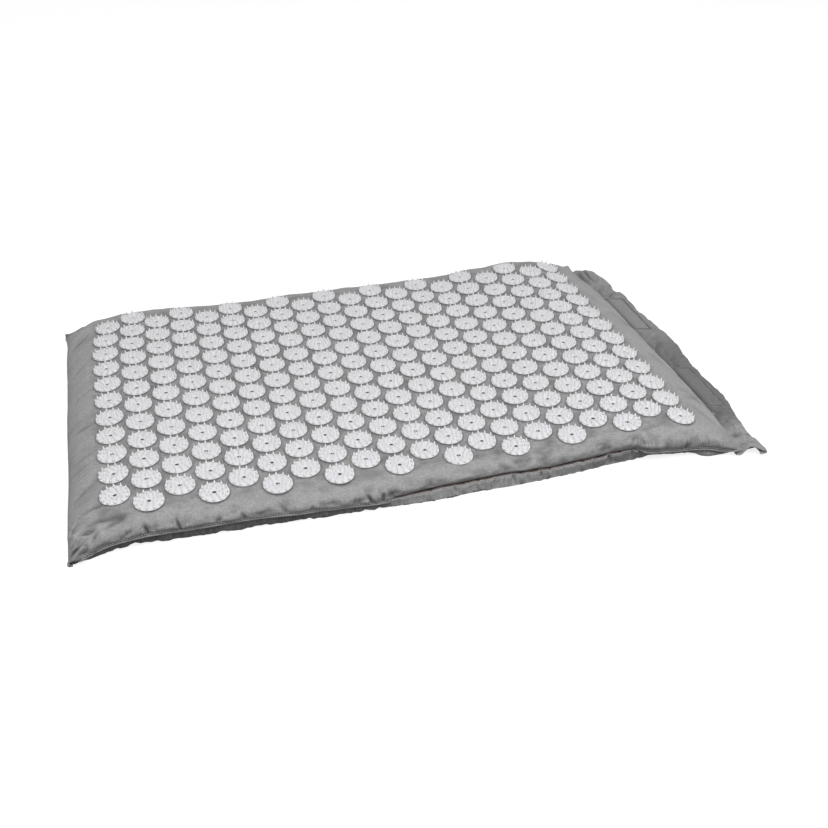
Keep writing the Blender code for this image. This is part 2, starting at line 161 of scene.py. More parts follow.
def join(pieces, name):
    """Join pieces into the first, and name it."""
    deselect()
    for piece in pieces:
        piece.select_set(True)
    bpy.context.view_layer.objects.active = pieces[0]
    bpy.ops.object.join()
    return named(name)


def sheet_of(name, x, y, z):
    """A sheet of quads from a grid primitive, moved to the places given for each row and column.

    Returns the piece, and the order of its points in rows.
    """
    deselect()
    rows, columns = x.shape
    bpy.ops.mesh.primitive_grid_add(x_subdivisions=columns - 1, y_subdivisions=rows - 1, size=1)
    piece = named(name)
    points = get_points(piece)
    order = np.lexsort((np.round(points[:, 0], 5), np.round(points[:, 1], 5)))
    points[order] = np.stack([np.ravel(axis) for axis in (x, y, z)], axis=1)
    set_points(piece, points)
    return piece, order


# %% [markdown]
# ## Curves through chosen points
# A seam on cloth wanders, so its line is a short table of chosen points. A cubic through the points
# keeps the line smooth, with the slope at each point taken from its neighbours.

# %% Helpers for smooth tables and noise
def through(table, at):
    """Smooth curve through a table of (place, value), read at an array of places."""
    places, values = np.array(table, float).T
    slopes = np.gradient(values, places)
    at = np.clip(at, places[0], places[-1])
    index = np.clip(np.searchsorted(places, at) - 1, 0, len(places) - 2)
    span = places[index + 1] - places[index]
    t = (at - places[index]) / span
    start, end = values[index], values[index + 1]
    low, high = slopes[index] * span, slopes[index + 1] * span
    return ((2 * t**3 - 3 * t**2 + 1) * start + (t**3 - 2 * t**2 + t) * low
            + (3 * t**2 - 2 * t**3) * end + (t**3 - t**2) * high)


def columns_of(table, at):
    """Smooth curves through each column of a table in millimetres, read at places in metres."""
    places, *columns = np.array(table).T * MM
    return [through(np.stack([places, column], axis=1), at) for column in columns]


def ease(value, low, high):
    """0 below low, 1 above high, smooth between."""
    t = np.clip((value - low) / (high - low), 0, 1)
    return t * t * (3 - 2 * t)


def rise(value, low, high):
    """0 below low and 1 above high, both given in millimetres."""
    return ease(value, low * MM, high * MM)


def fall(value, low, high):
    """1 below low and 0 above high, both given in millimetres."""
    return 1 - rise(value, low, high)


def mix(start, end, share):
    """From start at share 0 to end at share 1."""
    return start + (end - start) * share


def bell(distance, width):
    """1 at no distance, falling off over a width in millimetres."""
    return np.exp(-((distance / (width * MM)) ** 2))


def waves(x, y, size, seed):
    """Smooth noise between about -1 and 1, with features of a given size in millimetres."""
    x, y = np.broadcast_arrays(x, y)
    size = size * MM
    flat = [noise.fractal(Vector((a / size, b / size, seed * 7.3)), 1.0, 2.0, 2)
            for a, b in zip(x.ravel(), y.ravel())]
    return np.array(flat).reshape(x.shape)


def fold(x, y, row, fade="both"):
    """A soft ridge along a line, thinning out at both ends or at its far end.

    The row holds start x, start y, end x, end y, width and height, in millimetres.
    """
    start_x, start_y, end_x, end_y, width, height = (value * MM for value in row)
    along_x, along_y = end_x - start_x, end_y - start_y
    length = math.hypot(along_x, along_y)
    t = ((x - start_x) * along_x + (y - start_y) * along_y) / length**2
    across = ((x - start_x) * along_y - (y - start_y) * along_x) / length
    held = np.clip(t, 0, 1)
    taper = np.sin(held * math.pi) if fade == "both" else np.cos(held * math.pi / 2) ** 2
    return height * taper * np.exp(-(across**2 + ((t - held) * length) ** 2) / width**2)


def folds(x, y, table):
    """All folds of a table, added up."""
    return sum(fold(x, y, row) for row in table)


# %% [markdown]
# ## The form of the filled cover
# The foam is thicker towards the right end, so the top rises there by about 9 mm before it rolls
# down to the crease. Along its edges the top rolls down like a quarter of an ellipse. Under the
# discs the cloth lies in flat strips, one for each column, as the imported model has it.

# %% Sizes and heights of the cover
PITCH = 30.6 * MM
COLUMN_STEP = PITCH * math.sqrt(3) / 2
COLUMNS, LONG_COLUMN = 20, 12
DISC_RADIUS = 12.7 * MM
FIELD_X = (COLUMNS - 1) / 2 * COLUMN_STEP + DISC_RADIUS
FIELD_Y = (LONG_COLUMN - 1) / 2 * PITCH + DISC_RADIUS
LEFT, RIGHT = -FIELD_X - 28.5 * MM, FIELD_X + 31.5 * MM
FRONT, BACK = -FIELD_Y - 10 * MM, FIELD_Y + 25 * MM
LEFT_ROLL, RIGHT_ROLL, FRONT_ROLL, BACK_ROLL = 60 * MM, 95 * MM, 14 * MM, 22 * MM
TOP, SEAM, LEFT_LOW, CREASE = 25 * MM, 15 * MM, 6.2 * MM, 14 * MM
SWELL_REACH = 155 * MM
FRONT_FULLNESS = 2.7  # 2 is an ellipse, and more keeps the top level nearer to the front seam


def roll(distance, width, fullness=2.0):
    """Share of the height over a rolled edge: a quarter ellipse, or fuller or flatter than one."""
    inner = 1 - np.clip(distance / width, 0, 1)
    return np.maximum(1 - inner**fullness, 0) ** (1 / fullness)


def swell(x, crest_share, height):
    """A soft rise across the mat, with its crest at a share of the length."""
    away = abs(x - mix(LEFT, RIGHT, crest_share))
    return height * (1 + np.cos(np.minimum(away / SWELL_REACH, 1) * math.pi)) / 2


def profile(x):
    """Height of the top along the middle of the mat, in flat strips under the disc columns."""
    strips = (np.arange(COLUMNS + 1) - COLUMNS / 2) * COLUMN_STEP
    lines = np.concatenate([np.linspace(LEFT, strips[0], 40)[:-1], strips,
                            np.linspace(strips[-1], RIGHT, 40)[1:]])
    crown = TOP + swell(lines, 0.06, 3.6 * MM) + swell(lines, 0.895, 9 * MM)
    at_left, at_right = roll(lines - LEFT, LEFT_ROLL), roll(RIGHT - lines, RIGHT_ROLL)
    edge = mix(CREASE, mix(LEFT_LOW, SEAM, at_left), at_right)
    return np.interp(x, lines, mix(edge, crown, at_left * at_right))


def rows_of(column):
    """How many discs a column holds: every second column is a long one."""
    return LONG_COLUMN - 1 + column % 2


def disc_centre(column, row):
    """Centre of a disc in the staggered grid."""
    return ((column - (COLUMNS - 1) / 2) * COLUMN_STEP,
            (row - (rows_of(column) - 1) / 2) * PITCH)


def disc_places():
    """Column, row and centre of every disc."""
    for column in range(COLUMNS):
        for row in range(rows_of(column)):
            yield column, row, *disc_centre(column, row)


print("discs", len(list(disc_places())), "outline", round(RIGHT - LEFT, 4), "x", round(BACK - FRONT, 4))

# %% [markdown]
# ## Materials
# Each finish is a node tree on Blender's Principled shader. One small class adds nodes to a tree.
# Chains of Math nodes are hard to read as node calls, so a second class wraps a socket: a Python
# expression on wrapped sockets adds the Math nodes by itself. Colours go through Mix nodes. All
# patterns read Object coordinates, in metres, so that a weave has its true scale on every piece.

# %% Classes for node trees and shader maths
class Nodes:
    """A node tree, with a short way to add a node to it."""

    def __init__(self, tree):
        self.tree = tree

    def node(self, kind, settings=None, sockets=None, out=0):
        """Add a node: its settings first, then the values or links of its sockets."""
        made = self.tree.nodes.new(kind)
        for name, value in (settings or {}).items():
            setattr(made, name, value)
        for name, value in (sockets or {}).items():
            if isinstance(value, Socket):
                self.tree.links.new(value.socket, made.inputs[name])
            else:
                made.inputs[name].default_value = value
        return Socket(self, made.outputs[out])


class Finish(Nodes):
    """A material with one Principled shader."""

    def __init__(self, name, roughness, sockets=None):
        self.material = bpy.data.materials.new(name)
        self.material.use_nodes = True
        super().__init__(self.material.node_tree)
        self.shader = self.tree.nodes["Principled BSDF"]
        self.shader.inputs["Roughness"].default_value = roughness
        for socket, value in (sockets or {}).items():
            self.shader.inputs[socket].default_value = value
        self.place = self.node("ShaderNodeTexCoord", out="Object")

    def stretched(self, scale):
        """Object coordinates, stretched by a scale for each axis."""
        return self.node("ShaderNodeMapping", sockets={0: self.place, "Scale": scale})

    def cloud(self, size, detail=2.0, place=None):
        """Noise from 0 to 1 with features of a given size."""
        return self.node("ShaderNodeTexNoise", sockets={
            "Vector": place or self.place, "Scale": 1 / size, "Detail": detail})

    def colours(self, factor, low, high):
        """Mix two colours, each of three numbers or from a node."""
        low, high = (c if isinstance(c, Socket) else (*c, 1) for c in (low, high))
        return self.node("ShaderNodeMix", {"data_type": "RGBA"}, {0: factor, 6: low, 7: high}, out=2)

    def share(self, name):
        """A share that the piece stores for each of its points, or 0 where it stores none."""
        return self.node("ShaderNodeAttribute", {"attribute_name": name}, out="Fac")

    def feed(self, socket, value):
        """Link a value to a socket of the shader."""
        self.tree.links.new(value.socket, self.shader.inputs[socket])

    def bump(self, height, depth):
        """Raise the surface by a height of up to a depth in metres."""
        self.feed("Normal", self.node("ShaderNodeBump", sockets={
            "Strength": 1.0, "Distance": depth, "Height": height}))


class Socket:
    """An output of a node, on which Python's operators add Math nodes."""

    def __init__(self, nodes, socket):
        self.nodes, self.socket = nodes, socket

    def math(self, operation, first, second):
        return self.nodes.node("ShaderNodeMath", {"operation": operation}, {0: first, 1: second})

    def __add__(self, other):
        return self.math("ADD", self, other)

    def __sub__(self, other):
        return self.math("SUBTRACT", self, other)

    def __rsub__(self, other):
        return self.math("SUBTRACT", other, self)

    def __mul__(self, other):
        return self.math("MULTIPLY", self, other)

    def between(self, low, high):
        """0 below low and 1 above high, smooth between."""
        return self.nodes.node("ShaderNodeMapRange", {"interpolation_type": "SMOOTHSTEP"},
                                {0: self, 1: low, 2: high})

    __radd__, __rmul__ = __add__, __mul__


# %% [markdown]
# ### Cotton
# The cover is a plain-weave cotton canvas. From arm's length the weave shows as a fine grain, with
# slubs: short thicker runs of thread along both directions. Two noises, each stretched along one
# thread direction, give the slubs in colour and height, and two sine bands give the weave.

# %% Cotton
THREAD_STEP = 0.55 * MM
WAVE_STEP = 0.314  # the distance at which a wave texture of scale 1 repeats


def cotton(name, grey):
    """Plain-weave cotton around a grey level, with painted shade and fine creases where its piece's
    shares say.
    """
    finish = Finish(name, 0.92, {"Sheen Weight": 0.12, "Specular IOR Level": 0.2})
    warp, weft = (finish.cloud(1.0 * MM, 3.0, finish.stretched(lay))
                  for lay in ((1.0, 0.4, 1.0), (0.3, 1.0, 1.0)))
    worn = finish.cloud(34 * MM, 3.0)
    grain = warp * 0.4 + weft * 0.6
    clean = finish.colours(grain.between(0.32, 0.68) * 0.75 + worn * 0.25,
                           (grey * 0.76,) * 3, (grey * 1.24,) * 3)
    crease, swells = 0, 0
    for share, lay in (("creased_up", (1.0, 0.22, 0.22)), ("creased_across", (0.22, 1.0, 0.5))):
        bend = finish.cloud(4 * MM, 1.5, finish.stretched(lay))
        line = bend.between(0.41, 0.5) - bend.between(0.5, 0.59)
        crease = line * finish.share(share) + crease
        swells = bend * finish.share(share) + swells
    # Painted shade: the colour darkens by the share that each piece paints for shade, and along the
    # fine creases, whose relief is in the bump.
    darker = finish.share("painted_shade") + crease * 0.3
    finish.feed("Base Color", finish.colours(darker, clean, (grey * 0.3,) * 3))
    across, along = (finish.node("ShaderNodeTexWave", {"bands_direction": axis}, {
        "Vector": finish.place, "Scale": WAVE_STEP / THREAD_STEP}) for axis in "XY")
    finish.bump((across * along * 0.4 + grain * 0.6) * 0.16 + swells * 1.3 - crease * 0.3, MM)
    return finish.material


# The under, hem and flap cottons are darker copies of the top cotton: painted shade on the side under
# the seam and on the closure's lower lip, on the hemmed front lip and on the flap.
top_cotton, under_cotton_painted_shade, hem_cotton_painted_shade, flap_cotton_painted_shade = (cotton(name, grey) for name, grey in (
    ("top_cotton", 0.335), ("under_cotton_painted_shade", 0.27), ("hem_cotton_painted_shade", 0.30), ("flap_cotton_painted_shade", 0.31)))
print("cottons", [cloth.name for cloth in (top_cotton, under_cotton_painted_shade, hem_cotton_painted_shade, flap_cotton_painted_shade)])

# %% [markdown]
# ### Moulded plastic, tape, thread and foam
# The discs are cool white plastic with a satin gloss, a little uneven from the mould. Hook tape is
# a field of stiff points and loop tape a nap, so both get their grain from bump. Thread gets a twist
# along its length. Open-cell foam is a field of small pits.

# %% Plastic
def disc_white():
    """Satin white plastic, with its normals lifted a little, as light inside it evens the shading."""
    finish = Finish("disc_white", 0.36, {"Subsurface Weight": 1.0, "Subsurface Scale": 1.0,
                                         "Subsurface Radius": (3.4 * MM,) * 3})
    flow = finish.cloud(3.2 * MM, 2.0)
    finish.feed("Base Color", finish.colours(flow, (0.775, 0.775, 0.815), (0.805, 0.805, 0.845)))
    finish.feed("Roughness", flow * 0.16 + 0.3)
    face = finish.node("ShaderNodeBump", sockets={
        "Strength": 1.0, "Distance": 0.03 * MM, "Height": finish.cloud(0.9 * MM)})
    lifted = finish.node("ShaderNodeVectorMath", {"operation": "ADD"}, {0: face, 1: (0, 0, 1.2)})
    finish.feed("Normal", finish.node("ShaderNodeVectorMath", {"operation": "NORMALIZE"}, {0: lifted}))
    return finish.material


# %% Tape, thread and foam
def tape(name, grey, size, depth):
    """Hook or loop tape: a field of points of a given size."""
    finish = Finish(name, 0.8)
    points = finish.node("ShaderNodeTexVoronoi", sockets={"Vector": finish.place, "Scale": 1 / size})
    finish.feed("Base Color", finish.colours(points, (grey * 1.3,) * 3, (grey * 0.7,) * 3))
    finish.bump(1 - points, depth)
    return finish.material


def thread_finish(name, colour):
    """Twisted thread."""
    finish = Finish(name, 0.7, {"Sheen Weight": 0.2})
    twist = finish.cloud(0.35 * MM)
    low, high = (tuple(c * share for c in colour) for share in (0.8, 1.2))
    finish.feed("Base Color", finish.colours(twist, low, high))
    finish.bump(twist, 0.08 * MM)
    return finish.material


def foam_finish():
    """Open-cell foam."""
    finish = Finish("foam_cream", 0.95, {"Specular IOR Level": 0.1})
    cells = finish.node("ShaderNodeTexVoronoi", sockets={"Vector": finish.place, "Scale": 1 / MM})
    finish.feed("Base Color", finish.colours(cells, (0.62, 0.56, 0.42), (0.86, 0.82, 0.70)))
    finish.bump(cells, 0.4 * MM)
    return finish.material


# %% Make the finishes
white_plastic = disc_white()
hook_tape = tape("hook_tape_dark", 0.20, 1.1 * MM, 0.5 * MM)
loop_tape = tape("loop_tape_dark", 0.24, 0.5 * MM, 0.35 * MM)
thread = thread_finish("seam_thread", (0.50, 0.50, 0.52))
# The dark reddish-brown thread is painted shade: it stands for the shaded gap behind the lip's hem.
gap_shade_finish = thread_finish("gap_shade_thread", (0.10, 0.065, 0.055))
foam_cream = foam_finish()
print("materials in the file, with the packed ones", len(bpy.data.materials))

# %% Helpers that dress a piece
def paint(piece, name, values, order=None):
    """Store a share for each point of a piece, which its finish reads."""
    shares = np.empty(len(piece.data.vertices))
    shares[slice(None) if order is None else order] = np.ravel(values)
    piece.data.attributes.new(name, "FLOAT", "POINT").data.foreach_set("value", shares)


def dress(piece, material, body):
    """Give a piece its one material and its CAD body."""
    piece.data.materials.clear()
    piece.data.materials.append(material)
    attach(piece, body)
    return piece


# %% [markdown]
# ## The seam line around the cover
# On the real mat the top and bottom cloths are sewn together with the seam allowance turned in, and
# topstitched. The cloth is slack, so the seam rises, dips and is drawn in and out by a few
# millimetres. Each side has one table: the place along the side, how far the seam stands out from
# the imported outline, and how high it is, all in millimetres. It could be left straight, but the
# wandering seam is most of what makes a sewn edge look sewn.

# %% Seam tables
FRONT_SEAM = (
    (-293, 7.5, 3.4), (-284, 6.5, 4.6), (-274, 5.0, 6.9), (-264, 3.2, 9.0), (-249, 2.0, 11.2),
    (-229, 0.8, 12.0), (-203, 1.5, 12.2), (-183, 1.5, 12.2), (-156, 1.0, 12.0), (-146, 1.8, 12.4),
    (-105, 2.6, 10.8), (-62, 3.2, 9.6), (-30, 3.6, 8.4), (-14, 2.6, 10.0), (8, 1.0, 12.2),
    (45, 0.0, 12.6), (79, -0.8, 13.2), (97, -0.6, 12.8), (124, -0.8, 12.9), (139, -1.8, 13.6),
    (161, -2.6, 14.2), (190, -3.4, 15.0), (203, -3.4, 14.0), (213, -2.4, 11.2), (226, -1.5, 10.2),
    (239, -1.0, 9.2), (258, 1.0, 8.9), (275, 4.0, 7.6), (288, 7.5, 4.6), (296, 9.0, 3.4))
BACK_SEAM = (
    (-293, -12.0, 3.0), (-280, -9.5, 3.8), (-262, -7.5, 5.4), (-235, -5.5, 7.4), (-150, -3.2, 9.6),
    (-60, -3.8, 9.4), (20, -2.7, 9.8), (110, -3.6, 9.6), (200, -2.6, 9.2), (262, -1.6, 7.4),
    (296, 0.5, 5.8))
LEFT_SEAM = (
    (-200, 0.0, 3.2), (-150, 0.5, 2.4), (-80, -0.4, 2.2), (0, 0.4, 2.4), (70, -0.2, 2.6),
    (140, 0.4, 2.8), (175, 0.0, 3.0), (192, 1.8, 3.0), (215, 1.0, 3.2))
RIGHT_SEAM = (
    (-200, 0.0, 3.6), (-190, 0.4, 7.0), (-175, 0.3, 11.0), (-150, 0.0, 13.5), (0, 0.0, 14.0),
    (150, 0.0, 13.0), (190, 0.0, 9.4), (215, 0.0, 6.6))

# %% The opening of the front seam
# The opening of the front seam, and the upper edge of the hemmed lip that closes it
SLIT_START, SLIT_END = -28 * MM, 206 * MM
LIP_TOP = (
    (-40, -193.4, 7.2), (-30, -193.2, 7.6), (-18, -193, 8.3), (8, -191.5, 9.5), (45, -190, 9.9),
    (79, -189, 11), (97, -189, 10.2), (124, -189, 10.2), (139, -188, 10.9), (161, -187, 11.6),
    (198, -186, 12.9), (208, -186, 11.4), (218, -187, 10.6))


def in_slit(x):
    """1 along the opening of the front seam, 0 away from it."""
    return rise(x - SLIT_START, -2, 5) * fall(x - SLIT_END, -5, 2)


print("opening", round((SLIT_END - SLIT_START) / MM), "mm long")

# %% [markdown]
# ## The top cloth
# The top is one cut of cotton. It is a grid whose lines crowd together where the cloth rolls down,
# with three more rows past the seam line for the turned edge. The form of the filled cover gives
# the height, the seam tables pull the edge to its place, and soft folds are added where the cloth is
# drawn in: at the stitches, at the corners and along the drooping left margin. The folds fade out
# under the discs, where the cloth is bonded flat.

# %% Grid lines of the top cloth
EDGE_ROWS, EDGE_STEP = 3, 1 * MM


def rolled(edge, inner, count, fullness=2.0):
    """Lines across a roll, at even steps along its curve."""
    turns = math.pi / 2 * np.linspace(0, 1, count + 1) ** (fullness / 2)
    return mix(edge, inner, 1 - np.cos(turns) ** (2 / fullness))


def lines_between(low, high, low_roll, high_roll, step, low_count, high_count, fullness=2.0):
    """Lines from one side to the other, with rows past both edges."""
    first = rolled(low, low + low_roll, low_count, fullness)
    last = rolled(high, high - high_roll, high_count)[::-1]
    middle = np.linspace(first[-1], last[0], round((last[0] - first[-1]) / step) + 1)[1:-1]
    past = np.arange(1, EDGE_ROWS + 1) * EDGE_STEP
    return np.concatenate([low - past[::-1], first, middle, last, high + past])


x_lines = lines_between(LEFT, RIGHT, LEFT_ROLL, RIGHT_ROLL, 3.4 * MM, 17, 26)
y_lines = lines_between(FRONT, BACK, FRONT_ROLL, BACK_ROLL, 3.4 * MM, 14, 9, FRONT_FULLNESS)
print("top cloth", len(y_lines), "rows of", len(x_lines))

# %% [markdown]
# ### Folds of the top cloth
# Stitching gathers cotton a little, so short folds run in from a topstitched seam. Their places come
# from a seeded random generator, which gives the same folds each run. The few large folds that
# give this cover its look are listed one by one: the creases near the left end of the front seam, the
# folds that fan out from the corners, and the drag lines of the left margin.

# %% Distance from the discs
def off_discs(x, y, low, high):
    """0 on the discs, 1 away from them, between two distances in mm past the rim."""
    column = np.clip(np.round(x / COLUMN_STEP + (COLUMNS - 1) / 2), 0, COLUMNS - 1)
    nearest = np.full(np.shape(x), 1.0)
    for shift in (-1, 0, 1):
        near = np.clip(column + shift, 0, COLUMNS - 1)
        rows = rows_of(near)
        row = np.clip(np.round(y / PITCH + (rows - 1) / 2), 0, rows - 1)
        centre_x, centre_y = disc_centre(near, row)
        nearest = np.minimum(nearest, np.hypot(x - centre_x, y - centre_y))
    return rise(nearest - DISC_RADIUS, low, high)


# %% Folds listed one by one
# Each fold: start x, start y, end x, end y, width, height, all in millimetres
HAND_FOLDS = (
    (-294, -180, -280, -160, 1.2, -2.6), (-284, -162, -252, -160, 2.0, -3.2),
    (-290, -170, -252, -170, 4.5, 2.4), (-280, -179, -240, -178, 2.6, -3.0),
    (-290, -186, -278, -172, 2.2, 2.2), (-262, -190, -246, -178, 2.2, -3.0),
    (-287, -186, -268, -187, 2.8, -5.0), (-295, -203, -279, -196, 1.1, 3.0),
    (-293, -199, -277, -192, 1.2, -4.0), (-290, -196, -276, -189, 1.1, 2.8),
    (-291, -192, -286, -187, 1.5, -4.0), (-284, -193, -279, -187, 1.1, 2.6),
    (-274, -197, -266, -188, 1.4, -3.4), (-297, 200, -276, 190, 1.6, -2.8),
    (-296, 193, -272, 186, 1.8, 2.0), (-296, 186, -270, 181, 1.6, -2.4),
    (-288, 206, -268, 194, 1.8, 1.8), (-276, 204, -262, 190, 1.8, -2.2),
    (-292, -140, -262, -122, 2.8, -1.5), (-292, -120, -258, -104, 3.2, 1.3),
    (-292, -98, -264, -92, 2.4, -1.2), (-292, -84, -262, -78, 2.6, -1.4),
    (-292, -60, -255, -52, 3.2, 1.2), (-292, -34, -260, -30, 2.4, -1.3),
    (-292, -8, -264, -2, 2.6, 1.1), (-292, 18, -262, 34, 2.8, -1.6), (-292, 44, -258, 64, 3.2, 1.5),
    (-292, 70, -262, 92, 2.6, -1.7), (-292, 104, -264, 132, 2.8, 1.5),
    (-291, 128, -262, 158, 2.6, -1.9), (-290, 150, -258, 178, 3.0, 1.9),
    (-288, 172, -256, 194, 2.8, -2.2), (-222, -178, -190, -184, 4.0, 0.9),
    (-180, -182, -130, -176, 4.5, 0.9), (-120, -184, -70, -178, 4.0, -0.8),
    (-60, -180, 0, -186, 5.0, 0.9), (20, -178, 80, -184, 5.0, 0.8), (110, -182, 170, -176, 4.5, -0.7),
    (176, -188, 214, -172, 3.2, 1.5), (190, -184, 232, -176, 2.4, -1.4),
    (292, -184, 270, -140, 3.0, -1.2), (293, -176, 280, -120, 3.4, 1.3),
    (294, -150, 276, -96, 3.0, -0.9), (286, -190, 240, -168, 3.4, 1.1),
    (288, 120, 268, 176, 3.0, 0.9), (284, 60, 270, 110, 3.2, -0.8), (280, -60, 268, 10, 4.0, 0.9),
    (291, -100, 284, -40, 2.8, -1.4), (293, -60, 286, 0, 2.4, 1.2), (291, 20, 283, 80, 2.8, -1.3),
    (292, 60, 284, 124, 2.4, 1.2), (286, -30, 272, 24, 3.6, 1.0), (292, 100, 282, 160, 2.4, -1.2))

# Creases above the front seam: start x, start climb, end x, end climb, width, height, where the
# climb is the way up the slope from the seam, all in millimetres
FRONT_CREASES = (
    (-228, -2, -232, 15, 1.1, -3.5), (-203, -2, -206, 18, 1.1, -4.0), (-222, 1, -214, 9, 3.0, 1.8),
    (-252, 1, -240, 12, 2.0, -2.4), (-262, 4, -268, 20, 3.0, 1.4), (-196, 4, -176, 16, 4.0, 1.6),
    (-176, -1, -168, 13, 1.5, -2.2), (-150, -1, -154, 12, 1.2, -2.4), (-116, 0, -121, 14, 1.4, -2.6),
    (-98, -1, -94, 10, 1.1, -2.0), (-70, 2, -50, 18, 4.0, 1.6), (-43, -1, -50, 17, 1.4, -3.3),
    (-35, -1, -34, 13, 1.2, -3.1), (-24, -1, -30, 15, 1.4, -2.4), (196, 2, 203, 22, 1.5, -2.9),
    (210, -1, 206, 15, 1.2, -2.9), (220, 0, 228, 18, 3.0, 1.8), (231, -1, 229, 15, 1.2, -2.9),
    (247, -1, 249, 14, 1.2, -2.4), (268, 0, 266, 16, 1.5, -2.0), (281, 0, 279, 14, 2.0, 1.4))

# %% Puckers and hollows
# Spans that the puckers of a seam are drawn from, in mm: reach, lean, width and height
PUCKER_SPANS = ((9, 24), (-7, 7), (2.2, 4.2), (-1.8, 1.2))


def seam_puckers(x, along, seed):
    """Short folds that run in from a seam, at the way along the cloth from it."""
    random = np.random.default_rng(seed)
    total = np.zeros(np.shape(x))
    place = LEFT / MM + 14
    while place < RIGHT / MM - 12:
        reach, lean, width, height = (random.uniform(*span) for span in PUCKER_SPANS)
        near = abs(x - place * MM) < 20 * MM
        row = (place, -2, place + lean, reach, width, height)
        total[near] += fold(x[near], along[near], row, "end")
        place += random.uniform(6, 15)
    return total


def hollows(x, climb):
    """Soft hollows and puffs along the front slope, where the slack cloth hangs over its seam."""
    slope = rise(climb, 1, 7) * fall(climb, 18, 36)
    return (waves(x, climb, 11, 21) * 2.4 + waves(x * 0.5, climb, 26, 22) * 2.4) * slope * MM


# %% All folds together
def margin(x, y):
    """1 on the free cloth around the discs, 0 among them."""
    return np.maximum(rise(abs(x) - FIELD_X, -4, 8), rise(abs(y) - FIELD_Y, -8, 4))


def top_folds(x, y, climb):
    """All folds of the top cloth."""
    total = seam_puckers(x, climb, 4) * rise(climb, 0.5, 4) + hollows(x, climb)
    total += seam_puckers(x, BACK - y, 5) * rise(BACK - y, 0.3, 4)
    total += folds(x, climb, FRONT_CREASES) * rise(climb, 0.2, 2)
    total += folds(x, y, HAND_FOLDS)
    total += waves(x, y, 24, 1) * 1.5 * MM * margin(x, y)
    total += waves(x * 0.4, y, 7, 2) * 0.34 * MM
    return total


print("folds placed by hand", len(HAND_FOLDS) + len(FRONT_CREASES))

# %% [markdown]
# ### The turned edge
# Past the seam line the cloth turns under. In front and at the back it stands out as a narrow
# ridge that catches the light. Along the opening it is tucked in behind the hemmed lip. On the left
# it is rolled right under the mat, and at the right end it dives into the crease in front of the
# closure flap.

# %% Sizes of the turned edge
CLOTH, STITCH_IN = 0.8 * MM, 1.6 * MM
PRESSED_IN = 0.12 * MM  # how far a disc presses the cloth in
RIDGE_OUT, RIDGE_DROP = (0.9, 1.7, 1.4), (-0.1, 0.3, 1.2)
TUCKED_OUT, TUCKED_DROP = (-0.2, -1.4, -3.4), (0.8, 1.4, 1.8)
TUCK_BEHIND, TUCK_ABOVE = 2.6 * MM, 0.9 * MM
UNDER_OUT, UNDER_DROP = (0.4, -0.6, -3.0), (1.2, 2.4, 3.0)
CREASE_OUT, CREASE_DROP = (0.6, 0.5, -0.6), (1.8, 3.6, 5.0)


def past_edge(values, rows):
    """What the rows past an edge add: nothing on the cloth itself."""
    return np.interp(rows, range(EDGE_ROWS + 1), (0,) + values) * MM


# %% Form of the top cloth
def overhang(x, y):
    """How far the slack cloth bulges out over the front seam."""
    share = roll(y - FRONT, FRONT_ROLL, FRONT_FULLNESS) ** 0.8
    return (2.6 + waves(x, 0, 26, 23) * 2.4) * MM * np.sin(share * math.pi)


def slack(x, y):
    """How far the top sags, towards the front and in its back corners, and its shift to the right."""
    to_front = 2.4 * MM * (1 - np.clip((y - FRONT) / (46 * MM), 0, 1)) ** 2
    back_left = fall(x, -130, 0) * rise(y, 90, 180)
    corner = fall(x, -245, -190) * rise(y, 100, 185)
    back_right = rise(x, 225, 276) * (2.3 * rise(y, 0, 120) + 2.6 * rise(y, 95, 185)) * MM
    sag = to_front + (2.0 * back_left + 1.0 * corner) * MM + back_right
    return sag, (2.0 * back_left + 3.4 * corner) * MM * rise(x - LEFT, 2, 32)


def top_surface(x, y):
    """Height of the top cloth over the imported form, pulled to the seam tables at the edges."""
    front_out, front_up = columns_of(FRONT_SEAM, x)
    lip_y, lip_z = columns_of(LIP_TOP, x)
    tucked = in_slit(x)
    front_out = mix(front_out, FRONT - lip_y - TUCK_BEHIND, tucked)
    front_up = mix(front_up, lip_z + TUCK_ABOVE, tucked)
    back_out, back_up = columns_of(BACK_SEAM, x)
    edge = mix(front_up, back_up, ease(y, FRONT, BACK))
    share = roll(y - FRONT, FRONT_ROLL, FRONT_FULLNESS) * roll(BACK - y, BACK_ROLL, 1.2)
    slack_corner = fall(x - LEFT, 8, 66) * fall(BACK - y, 4, 48)
    sag, slack_x = slack(x, y)
    middle = profile(x) - sag - 5 * MM * slack_corner
    height = mix(edge, middle, share)
    left_out, left_up = columns_of(LEFT_SEAM, y)
    right_out, right_up = columns_of(RIGHT_SEAM, y)
    left_near, right_near = fall(x - LEFT, 0, 27), fall(RIGHT - x, 0, 26)
    front_near, back_near = fall(y - FRONT, 0, 20), fall(BACK - y, 0, 26)
    height += ((left_up - mix(edge, profile(LEFT), share)) * left_near
               + (right_up - mix(edge, profile(RIGHT), share)) * right_near)
    shift_y = back_out * back_near - front_out * front_near - overhang(x, y)
    shift_x = right_out * right_near - left_out * left_near + slack_x
    return shift_x, shift_y, height


# %% Places of its points
def way_up(x, y, height):
    """About how far along the cloth a point is from the front seam."""
    return y - FRONT + height - top_surface(x, 0 * y + FRONT)[2]


